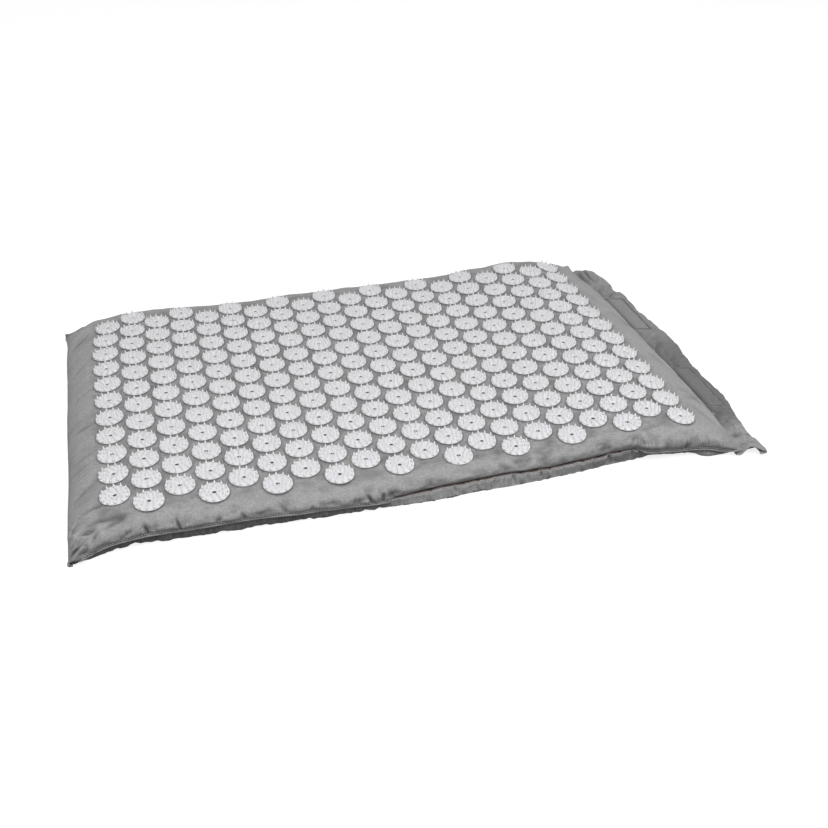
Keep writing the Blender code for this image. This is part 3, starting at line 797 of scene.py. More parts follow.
def place_top(flat_x, flat_y):
    """Places of the top cloth's points, from their places on the flat sheet."""
    x, y = np.clip(flat_x, LEFT, RIGHT), np.clip(flat_y, FRONT, BACK)
    x_rows, y_rows = abs(flat_x - x) / EDGE_STEP, abs(flat_y - y) / EDGE_STEP
    shift_x, shift_y, z = top_surface(x, y)
    free = off_discs(x, y, 0.3, 3)
    climb = way_up(x, y, z)
    raised = top_folds(x + shift_x, y + shift_y, climb) * free
    steep = fall(climb, 5, 20)
    depth = np.maximum(-raised, 0)
    z = z + raised * (1 - 0.5 * steep) - (1 - free) * PRESSED_IN
    shift_y = shift_y - raised * steep
    x_side, y_side = np.sign(x), np.sign(y - (FRONT + BACK) / 2)
    out_x, drop_x = (np.where(x_side > 0, past_edge(crease, x_rows), past_edge(under, x_rows))
                     for crease, under in ((CREASE_OUT, UNDER_OUT), (CREASE_DROP, UNDER_DROP)))
    tucked = in_slit(x) * (y_side < 0)
    out_y, drop_y = (mix(past_edge(ridge, y_rows), past_edge(tuck, y_rows), tucked)
                     for ridge, tuck in ((RIDGE_OUT, TUCKED_OUT), (RIDGE_DROP, TUCKED_DROP)))
    z = np.maximum(z - np.maximum(drop_x, drop_y), CLOTH + 0.1 * MM)
    return x + shift_x + x_side * out_x, y + shift_y + y_side * out_y, z, depth


# %% Build the top cloth
top_x, top_y = np.meshgrid(x_lines, y_lines)
top_cloth, _ = sheet_of("top_cloth", top_x, top_y, 0 * top_x)
print("flat sheet", len(top_cloth.data.vertices), "points")

# %% [markdown]
# The folds above the front seam and on the left margin are only one or two millimetres wide, so
# these strips of the sheet are subdivided while it is still flat. Then every point moves to its
# place.

# %% Finer strips, then the form
def refine(piece, chosen):
    """Subdivide the faces whose centres are chosen."""
    centres = np.array([face.center[:] for face in piece.data.polygons])
    edit(piece)
    bpy.ops.mesh.select_mode(type="FACE")
    bpy.ops.mesh.select_all(action="DESELECT")
    bpy.ops.object.mode_set(mode="OBJECT")
    piece.data.polygons.foreach_set("select", chosen(centres[:, 0], centres[:, 1]))
    bpy.ops.object.mode_set(mode="EDIT")
    bpy.ops.mesh.subdivide(number_cuts=1)
    bpy.ops.object.mode_set(mode="OBJECT")


refine(top_cloth, lambda x, y: (y < FRONT + 22 * MM) | (x < LEFT + 34 * MM))
refine(top_cloth, lambda x, y: (
    ((y < FRONT + 12 * MM) & ((x < -184 * MM) | (abs(x + 36 * MM) < 20 * MM)))
    | ((y < FRONT + 26 * MM) & (x < LEFT + 20 * MM))))

# %% Move the points to their places
flat_x, flat_y, _ = get_points(top_cloth).T
*places, depth = place_top(flat_x, flat_y)
set_points(top_cloth, np.stack(places, axis=1))
print("finer sheet", len(flat_x), "points")

# %% Painted shade on the top cloth
inside = np.clip(flat_x, LEFT, RIGHT), np.clip(flat_y, FRONT, BACK)
climb = way_up(*inside, top_surface(*inside)[2])
stitch_line = bell(climb - STITCH_IN, 0.9)
stitch_line *= (1 - in_slit(flat_x)) * (flat_y > FRONT - 0.2 * MM)
tuck_line = 0.95 * in_slit(flat_x) * fall(climb, 0.2, 2.2) * (flat_y < 0)
# Painted shade: the colour is darker in a ring round each disc, along the stitch groove, in the gap
# tucked behind the lip, in the hollows of the folds, low on the front slope above the seam, among the
# discs and in the back-left corner.
painted_shade = np.maximum(1 - off_discs(flat_x, flat_y, -1.5, 2.4),
                     np.maximum(0.7 * stitch_line, tuck_line))
among = 1 - margin(flat_x, flat_y)
painted_shade = np.maximum(painted_shade, np.clip(depth / (4 * MM) - 0.03, 0, 0.62)
                     + 0.24 * fall(climb, 2, 14)
                     + among * (0.2 + 0.5 * waves(flat_x * 0.6, flat_y, 10, 24)))
corner_shade = np.exp(-np.hypot(flat_x + 291 * MM, flat_y - 200 * MM) / (7 * MM))
paint(top_cloth, "painted_shade", np.maximum(painted_shade, 0.9 * corner_shade))

# %% [markdown]
# Two more shares say where the finish adds creases too fine for the mesh, in bump and in painted
# shade along each crease: those that run up from the front seam, and those that run across the
# margins. They are strong at the corners and near the opening's ends, and weak among the discs.

# %% Where the top cloth is creased
slope = rise(climb, 1, 4) * fall(climb, 9, 24)
drawn = sum(bell(flat_x - place * MM, reach)
            for place, reach in ((-225, 48), (-40, 24), (206, 20), (268, 40)))
left_margin = fall(flat_x - LEFT, 14, 30)
corners = left_margin * np.maximum(fall(flat_y - FRONT, 16, 44), fall(BACK - flat_y, 10, 40))
paint(top_cloth, "creased_up", np.maximum(slope * (0.25 + 0.6 * np.clip(drawn, 0, 1)), 0.22 * among))
paint(top_cloth, "creased_across", np.maximum(0.3 * left_margin + 0.5 * corners, 0.28 * among))
print("top cloth", len(top_cloth.data.polygons), "faces, height",
      round(get_points(top_cloth)[:, 2].max(), 4))

# %% Finish the top cloth
solidify(top_cloth, CLOTH)
smooth(top_cloth)
dress(top_cloth, top_cotton, "cover")
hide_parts("top_panel")
print("top cloth", len(top_cloth.data.polygons), "faces with its thickness")

# %% [markdown]
# ## The bottom cloth
# The bottom cloth lies flat on the floor and its sides wrap up inside the turned edge of the top.
# It is slack at the front, so its side is in small vertical puckers, and it meets the floor in
# small scallops. It is a grid like the top, with its outer lines stood up as the sides.

# %% Places of the bottom cloth
FOOT_LINE = (
    (-300, -199), (-292, -199), (-273, -194), (-250, -188.2), (-230, -187), (-223, -188.2),
    (-205, -188.7), (-176, -190), (-157, -190.8), (-147, -189.7), (-104, -192), (-60, -192.4),
    (-20, -192.8), (8, -193.9), (45, -191.7), (60, -191.1), (78, -191.6), (98, -190.7), (125, -188.8),
    (146, -187), (161, -185.2), (180, -181.8), (196, -180.9), (208, -181.7), (225, -179.6),
    (230, -181.2), (251, -184.9), (268, -194.6), (290, -195.7), (300, -197.4))

# Each ring: how far down the side, how far past its foot in mm, and its share of the puckers
SIDE_RINGS = np.array((
    (0.0, 0, 0.0), (0.12, 0, 0.4), (0.3, 0, 0.9), (0.5, 0, 1.2), (0.7, 0, 1.3), (0.85, 0.1, 1.2),
    (0.95, 0.5, 0.9), (1.0, 1.6, 0.5), (1.0, 5.0, 0.2), (1.0, 11.0, 0.0)))
SIDE_TOP_IN, SIDE_FOOT_IN = 1.3 * MM, 5.0 * MM
SIDE_BELOW, MOUTH_SIDE = 1.3 * MM, 5.5 * MM  # below the top cloth, and the height at the mouth


def tray_lines(low, high, step):
    """Lines across the tray: place, side (-1, 0 or 1), and the three values of its ring."""
    count = len(SIDE_RINGS)
    middle = np.linspace(low + 24 * MM, high - 24 * MM, round((high - low) / step))
    place = np.concatenate([[low] * count, middle, [high] * count])
    side = np.concatenate([[-1] * count, 0 * middle, [1] * count])
    values = np.ones((len(place), 3)) * (1.0, 0.0, 0.0)
    values[:count], values[-count:] = SIDE_RINGS, SIDE_RINGS[::-1]
    return place, side, *values.T


def side_height(edge_x, edge_y):
    """How high a side of the tray stands: just under the seam's ridge."""
    height = top_surface(edge_x, edge_y)[2] - SIDE_BELOW
    return np.minimum(height, MOUTH_SIDE + 20 * MM * rise(RIGHT - edge_x, 2, 14))


def place_bottom(x, y, side_x, side_y, down_x, down_y, past_x, past_y, share_x, share_y):
    """Places of the bottom cloth's points, from the values of their two lines."""
    inset_x = mix(SIDE_TOP_IN, SIDE_FOOT_IN, down_x) + past_x * MM
    new_x = x - side_x * inset_x
    shift_x, shift_y, _ = top_surface(new_x, y)
    foot = columns_of(FOOT_LINE, new_x)[0] - (FRONT + shift_y)
    foot = np.where(side_y < 0, foot, SIDE_FOOT_IN)
    inset_y = mix(SIDE_TOP_IN, foot, down_y) + past_y * MM
    pucker = waves(new_x, 0 * x, 8, 5) + 0.6 * waves(new_x, 0 * x, 4, 6)
    inset_y = inset_y + (pucker * share_y * 1.1 - np.sin(down_y * math.pi) * 0.5) * MM
    new_y = y + shift_y - side_y * inset_y
    front = side_y < 0
    along = side_height(new_x, np.where(front, FRONT, BACK))
    along = mix(along, 0.6 * MM, in_slit(new_x) * front)
    across = side_height(np.where(x < 0, LEFT, RIGHT), y)
    scallop = np.maximum(waves(new_x, 0 * x + 0.01, 8, 8), 0) * 3.0 * MM
    scallop = scallop * np.exp(-((down_y - 1) / 0.2) ** 2) * front * np.minimum(share_y * 2, 1)
    z = np.maximum(along * (1 - down_y), across * (1 - down_x)) + scallop + 0.05 * MM
    return new_x + waves(y, 0 * y, 9, 7) * share_x * 0.5 * MM, new_y, z


# %% Build the bottom cloth
lines_x, lines_y = tray_lines(LEFT, RIGHT, 2.2 * MM), tray_lines(FRONT, BACK, 9 * MM)
bottom_cloth, order = sheet_of("bottom_cloth", *place_bottom(
    *(grid for pair in zip(lines_x, lines_y) for grid in np.meshgrid(*pair))))
# Painted shade: the side of the bottom cloth is darker towards the left end, and its fine creases are
# darkened too.
left_painted_shade = fall(lines_x[0], 20, 190) + 0 * lines_y[0][:, None]
paint(bottom_cloth, "painted_shade", 0.6 * left_painted_shade, order)
paint(bottom_cloth, "creased_up", 0 * left_painted_shade + 0.8, order)
solidify(bottom_cloth, CLOTH, offset=1)
lowest = (-1, -1, 0)  # the floor, with room for the mat
set_points(bottom_cloth, np.maximum(get_points(bottom_cloth), lowest))
smooth(bottom_cloth)
dress(bottom_cloth, under_cotton_painted_shade, "cover")
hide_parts("bottom_panel")
print("bottom cloth", len(lines_y[0]), "rows of", len(lines_x[0]))

# %% [markdown]
# ## The spike discs
# Each disc is one moulded piece of white plastic: a round plate with a small hole in the middle and
# three rings of points, 12, 9 and 6. It is modelled once and copied. A particle or geometry-nodes
# setup could scatter it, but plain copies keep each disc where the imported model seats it. The
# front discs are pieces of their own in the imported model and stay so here. The others are joined
# into one piece for each column.

# %% Model one disc
DISC_THICKNESS, DISC_HOLE, DISC_SIDES = 1.5 * MM, 3.7 * MM, 30
DISC_EDGE = 0.4 * MM  # the bevel of its edges
SPIKE_HEIGHT, SPIKE_TIP, SPIKE_SUNK = 3.5 * MM, 0.4 * MM, 0.2 * MM
# Each ring of points: how many, its share of the disc's radius, and a point's width at its foot
SPIKE_RINGS = ((12, 0.9, 2.4 * MM), (9, 0.6, 1.25 * MM), (6, 0.35, 1.25 * MM))

deselect()
bpy.ops.mesh.primitive_circle_add(vertices=DISC_SIDES, radius=DISC_RADIUS)
disc = named("disc_form")
edit(disc)
bpy.ops.mesh.extrude_edges_move()
bpy.ops.transform.resize(value=(DISC_HOLE / 2 / DISC_RADIUS,) * 3)
bpy.ops.mesh.select_all(action="SELECT")
bpy.ops.mesh.normals_make_consistent(inside=False)
bpy.ops.object.mode_set(mode="OBJECT")
solidify(disc, DISC_THICKNESS, offset=0)
set_points(disc, get_points(disc) + (0, 0, DISC_THICKNESS / 2))
rim = disc.modifiers.new("rim", "BEVEL")
rim.width, rim.segments, rim.limit_method = DISC_EDGE, 1, "ANGLE"
apply_all(disc)

# %% Its points
spikes = []
for count, share, width in SPIKE_RINGS:
    for step in range(count):
        turn = step / count * math.tau
        reach = DISC_RADIUS * share
        bpy.ops.mesh.primitive_cone_add(
            vertices=6, radius1=width / 2, radius2=SPIKE_TIP / 2, depth=SPIKE_HEIGHT + SPIKE_SUNK,
            end_fill_type="NGON", rotation=(0, 0, turn),
            location=(reach * math.cos(turn), reach * math.sin(turn),
                      DISC_THICKNESS + SPIKE_HEIGHT / 2 - SPIKE_SUNK / 2))
        spikes.append(bpy.context.object)
join([disc] + spikes, "disc_form")
smooth(disc, 62)
print("disc faces", len(disc.data.polygons))

# %% [markdown]
# ### Seat the discs
# A disc sits on its column's flat strip, square to it, turned by its own angle: on the real mat
# the discs are dropped in at any turn. The golden angle spreads those turns without repeating.

# %% Seat of a disc
GOLDEN_TURN = math.pi * (3 - math.sqrt(5))
SEAT_GAP = 0.3 * MM


def seat_of(column, row, x, y):
    """Place of a disc on its strip of cloth, with its own turn."""
    sides = x + np.array([-0.5, 0.5]) * COLUMN_STEP
    low, high = profile(sides) - slack(sides, y)[0]
    tilt = -math.atan2(high - low, COLUMN_STEP)
    near, far = slack(x, y + np.array([-1, 1]) * DISC_RADIUS)[0]
    nod = math.atan2(near - far, 2 * DISC_RADIUS)
    sag, slack_x = slack(x, y)
    height = (low + high) / 2 + sag - (near + far) / 2
    return (Matrix.Translation((x + float(slack_x), y, height))
            @ Matrix.Rotation(nod, 4, "X") @ Matrix.Rotation(tilt, 4, "Y")
            @ Matrix.Translation((0, 0, SEAT_GAP))
            @ Matrix.Rotation((column + row) * GOLDEN_TURN, 4, "Z"))


# %% Copy the disc to its seats
columns = {}
for column, row, x, y in disc_places():
    made = copy_of(disc, f"disc_{column + 1:02d}_{row + 1:02d}", seat_of(column, row, x, y))
    if row == 0:
        dress(made, white_plastic, "cover")
        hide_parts(f"spike_disc_{column + 1:02d}_01")
    else:
        columns.setdefault(column, []).append(made)
for column, pieces in columns.items():
    joined = join(pieces, f"disc_column_{column + 1:02d}")
    dress(joined, white_plastic, "cover")
bpy.data.objects.remove(disc)
print("disc columns", len(columns))

# %% [markdown]
# ## The front lip
# The front seam has an opening of about 230 mm. Its lower edge is a hemmed strip of the bottom
# cloth: it stands up from the floor, folds over at its top and is sewn down behind. It leans and
# wanders, so its foot and its top each have a table.

# %% Form of the front lip
LIP_PUCKERS = (
    (8, 1.2, 1.0), (30, 1.5, -2.4), (38, 1.2, 1.4), (52, 1.4, 1.6), (66, 1.0, -1.7), (84, 1.4, -3.4),
    (91, 1.2, 1.6), (97, 1.1, -1.6), (110, 1.4, -3.0), (118, 1.2, 1.5), (150, 2.0, 1.6),
    (160, 1.1, -1.8), (176, 1.4, -3.4), (186, 1.2, 1.9), (199, 1.3, -2.8))
# Each row: height share, and how far behind the front face, in mm
LIP_ROWS = np.array(((0.0, 0), (0.08, 0), (0.2, 0), (0.35, 0), (0.5, 0), (0.65, 0), (0.8, 0),
                     (0.92, 0.0), (0.98, 0.35), (1.0, 0.9), (0.97, 1.4), (0.86, 1.6), (0.6, 1.6)))


def lip_places(x, share, behind):
    """Places on the lip at a share of its height, a distance in mm behind its front face."""
    top_y, top_z = columns_of(LIP_TOP, x)
    foot_y, = columns_of(FOOT_LINE, x)
    lean = mix(foot_y, top_y, share)
    sway = (waves(x, share * 6 * MM, 12, 11) * 1.4 + waves(x, share * 3 * MM, 5, 12) * 0.8) * MM
    for place, width, depth in LIP_PUCKERS:
        sway = sway - 1.4 * depth * MM * bell(x - place * MM, width)
    sway = sway * np.sin(np.clip(share, 0, 1) * math.pi * 0.8)
    return x, lean + sway + behind * MM, mix(0.5 * MM, top_z, share)


# %% Build the front lip
LIP_COLUMNS, LIP_CLOTH = 236, 0.6 * MM
lip_x = np.linspace(SLIT_START + 0.5 * MM, SLIT_END - 0.5 * MM, LIP_COLUMNS)
front_lip, order = sheet_of("front_lip_cloth", *lip_places(*np.broadcast_arrays(
    lip_x[None, :], LIP_ROWS[:, :1], LIP_ROWS[:, 1:])))
# The crease share darkens the lip along its fine creases: painted shade, with the relief in bump.
paint(front_lip, "creased_up", 0.75 + 0 * LIP_ROWS[:, :1] * lip_x, order)
solidify(front_lip, LIP_CLOTH)
smooth(front_lip)
front_lip.data.materials.append(hem_cotton_painted_shade)
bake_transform(front_lip)
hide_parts("front_lip")
print("front lip", len(front_lip.data.polygons), "faces")

# %% [markdown]
# A thin dark reddish-brown line along the top of the lip is painted shade for the shaded gap
# between the hem and the tucked edge of the top cloth. It is a curve with a round section.

# %% Painted shade line along the top of the lip
GAP_SHADE_RADIUS = 0.55 * MM
edge_x = np.linspace(SLIT_START + 3 * MM, SLIT_END - 2 * MM, 90)
edge_places = np.stack(lip_places(edge_x, 0 * edge_x + 1.0, 0 * edge_x + 1.75), axis=1)
deselect()
bpy.ops.curve.primitive_nurbs_path_add()
lip_gap_shade = named("lip_gap_shade_line")
lip_gap_shade.data.splines.clear()
spline = lip_gap_shade.data.splines.new("POLY")
spline.points.add(len(edge_places) - 1)
spline.points.foreach_set("co", np.column_stack([edge_places, 1 + 0 * edge_x]).ravel())
lip_gap_shade.data.bevel_depth, lip_gap_shade.data.bevel_resolution = GAP_SHADE_RADIUS, 1
lip_gap_shade.data.use_fill_caps = True
only(lip_gap_shade)
bpy.ops.object.convert(target="MESH")
smooth(lip_gap_shade, 80)
dress(lip_gap_shade, gap_shade_finish, "front_lip")
print("edge thread", len(lip_gap_shade.data.polygons), "faces")

# %% [markdown]
# ## The closure at the right end
# The cover's mouth is at the right end. Its lower lip lies on the floor, and the flap lies on it,
# held by two pairs of hook-and-loop patches. The flap is an extension of the top cloth, turned back
# on itself at its outer edge. It puffs up away from the patches, is pulled flat by the box stitching
# over them, and ends in a twisted tip at the front.

# %% Tables of the flap
HINGE_X = 296.9 * MM
# The outer edge: place along it, place in x and height, in millimetres
FLAP_EDGE = (
    (-206, 321.0, 5.0), (-200, 323.0, 5.4), (-188.5, 321.3, 6.6), (-177, 318.9, 7.6),
    (-162, 321.5, 7.4), (-145.5, 324.4, 6.8), (-110, 330.6, 6.2), (-84, 329.0, 6.4),
    (-40, 328.8, 7.8), (-1.5, 332.0, 8.6), (32, 331.4, 7.6), (66, 329.0, 6.6), (105, 328.0, 6.4),
    (124, 327.6, 7.4), (131.6, 321.5, 8.2), (140, 321.5, 9.8), (160, 318.5, 10.6),
    (173.8, 314.8, 10.4), (189, 305, 9.0), (196, 300.5, 8.0))
PATCH_BOXES = {"front": (-130.6, -55.6), "back": (32.3, 107.3)}
PATCH_NEAR, PATCH_FAR = 301.5, 321.5
# The flap's face over the patches, which tilts down outwards
PATCH_TOP, PATCH_SLOPE = 11.05 * MM, math.tan(math.radians(8.5))
# Heights of the flap across its width, in mm: along the slack valley, over the puffed back lobe,
# and at the twisted front tip
FLAP_VALLEY = (
    (0, 9.2), (0.1, 7.4), (0.24, 6.3), (0.42, 7.0), (0.62, 8.7), (0.8, 8.9), (0.93, 8.1), (1, 7.0))
FLAP_LOBE = (
    (0, 9.4), (0.12, 8.6), (0.3, 10.6), (0.55, 12.0), (0.8, 11.4), (0.93, 9.6), (1, 7.6))
TIP_HEIGHTS = (
    (0, 2.6), (0.08, 2.8), (0.25, 7.4), (0.42, 10.4), (0.6, 9.4), (0.8, 7.2), (1, 5.2))

# Each fold of the flap: start x, start y, end x, end y, width, height, all in millimetres
FLAP_FOLDS = (
    (298, 116, 326, 128, 2.2, -2.8), (299, 122, 322, 137, 2.0, 1.8), (299, 146, 300, 192, 1.6, -3.0),
    (304, 146, 306, 184, 1.6, 1.4), (306, 146, 304.5, 188, 1.5, -2.4), (312, 140, 312, 176, 3.0, 1.4),
    (298, -46, 322, -52, 2.4, -2.2), (300, -40, 326, -44, 2.6, 1.4), (300, -20, 318, 6, 3.5, -1.2),
    (312, -30, 322, 20, 4.5, 1.6), (302, 18, 314, 30, 2.5, 0.9), (299, 14, 304, 30, 2.0, -1.6),
    (298, -136, 318, -139, 2.4, -2.2), (302, -142, 324, -146, 2.8, 1.6),
    (300, -158, 316, -150, 2.5, -1.0), (306, -164, 320, -172, 3.0, 1.7),
    (299, -176, 311, -180, 2.0, -3.2), (300, -186, 314, -187, 2.4, 2.0),
    (300, -195, 318, -193, 1.8, -2.6), (306, -201, 320, -199, 1.8, 1.3),
    (314, -180, 322, -186, 2.0, -1.6))

# %% Form of the flap
def box_distance(x, y):
    """Distance to the nearest stitched rectangle: below zero inside it."""
    across = np.maximum(PATCH_NEAR * MM - x, x - PATCH_FAR * MM)
    return np.minimum(*(np.maximum(across, np.maximum(low * MM - y, y - high * MM))
                        for low, high in PATCH_BOXES.values()))


def flap_surface(share, y):
    """Place of the flap's top face: share 0 at the crease, 1 at its outer edge."""
    edge_x, edge_z = columns_of(FLAP_EDGE, y)
    x = mix(HINGE_X, edge_x, share)
    beyond = box_distance(x, y)
    flat = fall(beyond, 0.5, 5)
    plate = PATCH_TOP - (x - PATCH_NEAR * MM) * PATCH_SLOPE
    valley = through(FLAP_VALLEY, share) * MM
    lobe = rise(y, 132, 146)
    wide = rise(edge_x - HINGE_X, 2, 16)
    puffed = mix(5.6, through(FLAP_LOBE, share), wide) * MM
    loose = mix(valley, puffed, lobe) + (edge_z - 7.0 * MM) * share**2
    loose = loose + (waves(x, y, 12, 15) * 1.8 + waves(x, y * 0.5, 5, 16) * 0.6) * MM * (
        np.minimum(share * 4, 1))
    crumple = np.minimum(share * 5, 1) * (1 - ease(share, 0.7, 1)) * (1 - lobe)
    loose = loose + (abs(waves(x * 1.2, y, 15, 18)) - 0.2) * 2.6 * MM * crumple
    loose = loose + folds(x, y, FLAP_FOLDS) * 1.5
    z = mix(loose, plate + waves(x, y, 9, 17) * 0.12 * MM, flat)
    groove = bell(beyond, 0.9) * 1.3 * MM
    tip = rise(-y, 186, 200)
    z = mix(z, through(TIP_HEIGHTS, share) * MM, tip) - groove
    z = z - 2.4 * MM * rise(y, 168, 192) * (1 - ease(share, 0, 0.5)) * wide
    back_end = rise(y, 178, 195) * (1 - np.clip(share, 0, 1)) ** 2 * 2 * MM
    return x, y - tip * (5 * share**2 - 1) * MM - back_end, np.maximum(z, CLOTH + 0.3 * MM)


# %% Build the flap
# Past the outer edge the cloth turns under: outwards and down, in mm
FLAP_TURN = np.array(((0.5, 0.4), (0.7, 1.2), (0.3, 2.0), (-1.5, 2.3), (-6.0, 2.2)))
FLAP_ROWS, FLAP_COLUMNS = 270, 35
flap_y = np.sort(np.concatenate([np.linspace(-204, 195, FLAP_ROWS)] + [
    end + np.linspace(-1.8, 1.8, 7) for ends in PATCH_BOXES.values() for end in ends])) * MM
shares = np.concatenate([np.linspace(0, 1, FLAP_COLUMNS), np.ones(len(FLAP_TURN))])
turn_out, turn_down = (np.concatenate([np.zeros(FLAP_COLUMNS), turn * MM]) for turn in FLAP_TURN.T)
grid_share, grid_y = np.meshgrid(shares, flap_y)
grid_x, flap_py, flap_pz = flap_surface(grid_share, grid_y)
flap_cloth, order = sheet_of("flap_cloth", grid_x + turn_out, flap_py, flap_pz - turn_down)

# %% Finish the flap
# Painted shade on the flap: along the grooves round the patch boxes, in the slits of its deepest folds,
# over its front half and in the valley by the crease, fading out at the front tip and over the puffed
# back lobe.
beyond = box_distance(grid_x, grid_y)
slits = sum(fold(grid_x, grid_y, (*ends, width * 0.7, 0.9))
            for *ends, width, height in FLAP_FOLDS if height < -1.1) / MM
shaded = 0.24 + 0.38 * fall(grid_y, -30, 30) + 0.45 * (1 - ease(grid_share, 0.05, 0.4))
shaded = shaded * rise(grid_y, -178, -145) * (1 - 0.8 * rise(grid_y, 132, 150))
painted_shade = np.maximum(bell(beyond, 1.4), np.maximum(shaded, np.minimum(slits, 0.85)))
paint(flap_cloth, "painted_shade", painted_shade, order)
paint(flap_cloth, "creased_across", 0.1 + 0.15 * rise(beyond, 0, 4), order)
paint(flap_cloth, "creased_up", 0.08 + 0.1 * rise(beyond, 0, 4), order)
solidify(flap_cloth, CLOTH)
smooth(flap_cloth)
flap_cloth.data.materials.append(flap_cotton_painted_shade)
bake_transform(flap_cloth)
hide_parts("closure_flap")
print("flap", len(flap_cloth.data.polygons), "faces, width",
      round((grid_x.max() - HINGE_X) * 1000, 1), "mm")

# %% [markdown]
# ### The lower lip and the patches
# The lower lip is the end of the bottom cloth. It lies slack under the flap and shows only as a
# second edge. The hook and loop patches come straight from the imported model, because they are flat
# plates with stitched edges: they only need their finish.

# %% Lower lip and patches
LIP_FOOT_X = 291.5 * MM
lip_y = np.linspace(-203 * MM, 189 * MM, 130)
lip_share, grid_y = np.meshgrid(np.linspace(0, 1, 14), lip_y)
edge_x = columns_of(FLAP_EDGE, grid_y)[0] - 1.0 * MM
low_x = mix(LIP_FOOT_X, edge_x, lip_share)
low_z = mix(6.6, 2.4, lip_share) * MM + waves(low_x, grid_y, 20, 16) * 0.5 * MM * lip_share
drawn_in = lip_share * rise(-grid_y, 180, 203) * 8 * MM
lower_lip, _ = sheet_of("closure_lip_cloth", low_x, grid_y + drawn_in, low_z)
solidify(lower_lip, CLOTH)
smooth(lower_lip)
dress(lower_lip, under_cotton_painted_shade, "cover")
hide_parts("closure_lip")
for side in PATCH_BOXES:
    for kind, material in (("hook", hook_tape), ("loop", loop_tape)):
        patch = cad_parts[f"{kind}_patch_{side}"]
        patch.data.materials.clear()
        patch.data.materials.append(material)
print("lower lip", len(lower_lip.data.polygons), "faces")

# %% [markdown]
# ## The foam
# One slab of open-cell foam fills the cover. It is hidden, apart from what shows through the front
# opening, and it gives the top its height, so its top follows the cloth. It is two grids that meet
# halfway up its sides.

# %% Form of the foam slab
FOAM_LEFT, FOAM_RIGHT = LEFT + 18 * MM, RIGHT - 8.5 * MM
FOAM_FRONT, FOAM_BACK = FRONT + 11 * MM, BACK - 7 * MM
# How far below the cloth the slab's top is among the discs and, beyond that, on the margins; its
# least height; and how far above the floor its underside is
FOAM_BELOW, FOAM_SLACK, FOAM_LEAST, FOAM_FLOOR = 2.0 * MM, 2.5 * MM, 3.5 * MM, 1.3 * MM
# Rows at the slab's edge: inset, and how far below the top, in mm. The first is halfway up the side
FOAM_EDGE = np.array(((0, 0), (0, 3.2), (0.8, 1.4), (2.4, 0.5), (5.0, 0.0)))


def foam_sheet(name, is_top):
    """Top or bottom half of the slab."""
    insets, drops = FOAM_EDGE.T * MM
    axes, falls = [], []
    for low, high in ((FOAM_LEFT, FOAM_RIGHT), (FOAM_FRONT, FOAM_BACK)):
        middle = np.linspace(low + insets[-1], high - insets[-1], round((high - low) / (9 * MM)))
        axes.append(np.concatenate([low + insets, middle[1:-1], (high - insets)[::-1]]))
        falls.append(np.concatenate([drops, 0 * middle[1:-1], drops[::-1]]))
    x, y = np.meshgrid(*axes)
    fall_x, fall_y = np.meshgrid(*falls)
    shift_x, shift_y, cloth = top_surface(x, y)
    drop = np.maximum(fall_x, fall_y)
    top = np.maximum(cloth - FOAM_BELOW - FOAM_SLACK * margin(x, y) - drop, FOAM_LEAST)
    bottom = FOAM_FLOOR + drop * 0.3
    half = (top + bottom) / 2
    rim = np.zeros(x.shape, bool)
    rim[[0, -1], :] = rim[:, [0, -1]] = True
    z = np.where(rim, half, top if is_top else bottom)
    piece, _ = sheet_of(name, x + shift_x, y + shift_y, z)
    if not is_top:
        piece.data.flip_normals()
    return piece


# %% Build the foam slab
foam_slab = join([foam_sheet("foam_top", True), foam_sheet("foam_bottom", False)], "foam_slab")
edit(foam_slab)
bpy.ops.mesh.remove_doubles(threshold=0.01 * MM)
bpy.ops.object.mode_set(mode="OBJECT")
smooth(foam_slab, 50)
dress(foam_slab, foam_cream, "cover")
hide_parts("foam_core")
print("foam", len(foam_slab.data.polygons), "faces")

# %% [markdown]
# ## Stitching
# Every seam is a lockstitch: short raised stitches with a small gap between. Each stitch is a
# stretched sphere of 20 faces, modelled once and copied along the seam. A bump texture could fake
# them, but the light catches real stitches at the seam's ridge.

# %% Helpers for stitches
STITCH_STEP, THREAD_RADIUS = 2.35 * MM, 0.3 * MM
bpy.ops.mesh.primitive_ico_sphere_add(subdivisions=1, radius=1)
stitch_form = named("stitch_form")


def resample(points, step):
    """Points at even steps along a line of points."""
    steps = np.linalg.norm(np.diff(points, axis=0), axis=1)
    length = np.concatenate([[0], np.cumsum(steps)])
    at = np.arange(0, length[-1], step)
    return np.stack([np.interp(at, length, points[:, i]) for i in range(3)], axis=1)


def stitch_row(name, points, body):
    """A row of stitches along a line of points, each lying along the line."""
    line = resample(points, STITCH_STEP / 2)
    pieces = []
    for start, end in zip(line[0:-1:2], line[1::2]):
        along = Vector(end - start)
        centre = Vector(start + end) / 2
        turn = along.to_track_quat("X", "Z").to_matrix().to_4x4()
        size = Matrix.Diagonal((STITCH_STEP * 0.37, THREAD_RADIUS, THREAD_RADIUS, 1))
        pieces.append(copy_of(stitch_form, name, Matrix.Translation(centre) @ turn @ size))
    row = join(pieces, name)
    smooth(row, 80)
    dress(row, thread, body)


def seam_line(side, low, high):
    """Points on the top cloth, a little way in from the front or back seam."""
    x = np.linspace(low * MM, high * MM, 400)
    if side == "back":
        places = place_top(x, 0 * x + BACK - STITCH_IN)[:3]
        return np.stack(places, axis=1) + (0, 0.1 * MM, 0.2 * MM)
    ways_in = np.linspace(0, 0.6 * MM, 60)
    grid_x, grid_y = np.meshgrid(x, FRONT + ways_in)
    climbs = way_up(grid_x, grid_y, top_surface(grid_x, grid_y)[2])
    y = FRONT + np.array([np.interp(STITCH_IN, climb, ways_in) for climb in climbs.T])
    return np.stack(place_top(x, y)[:3], axis=1) + (0, -0.22 * MM, 0.05 * MM)


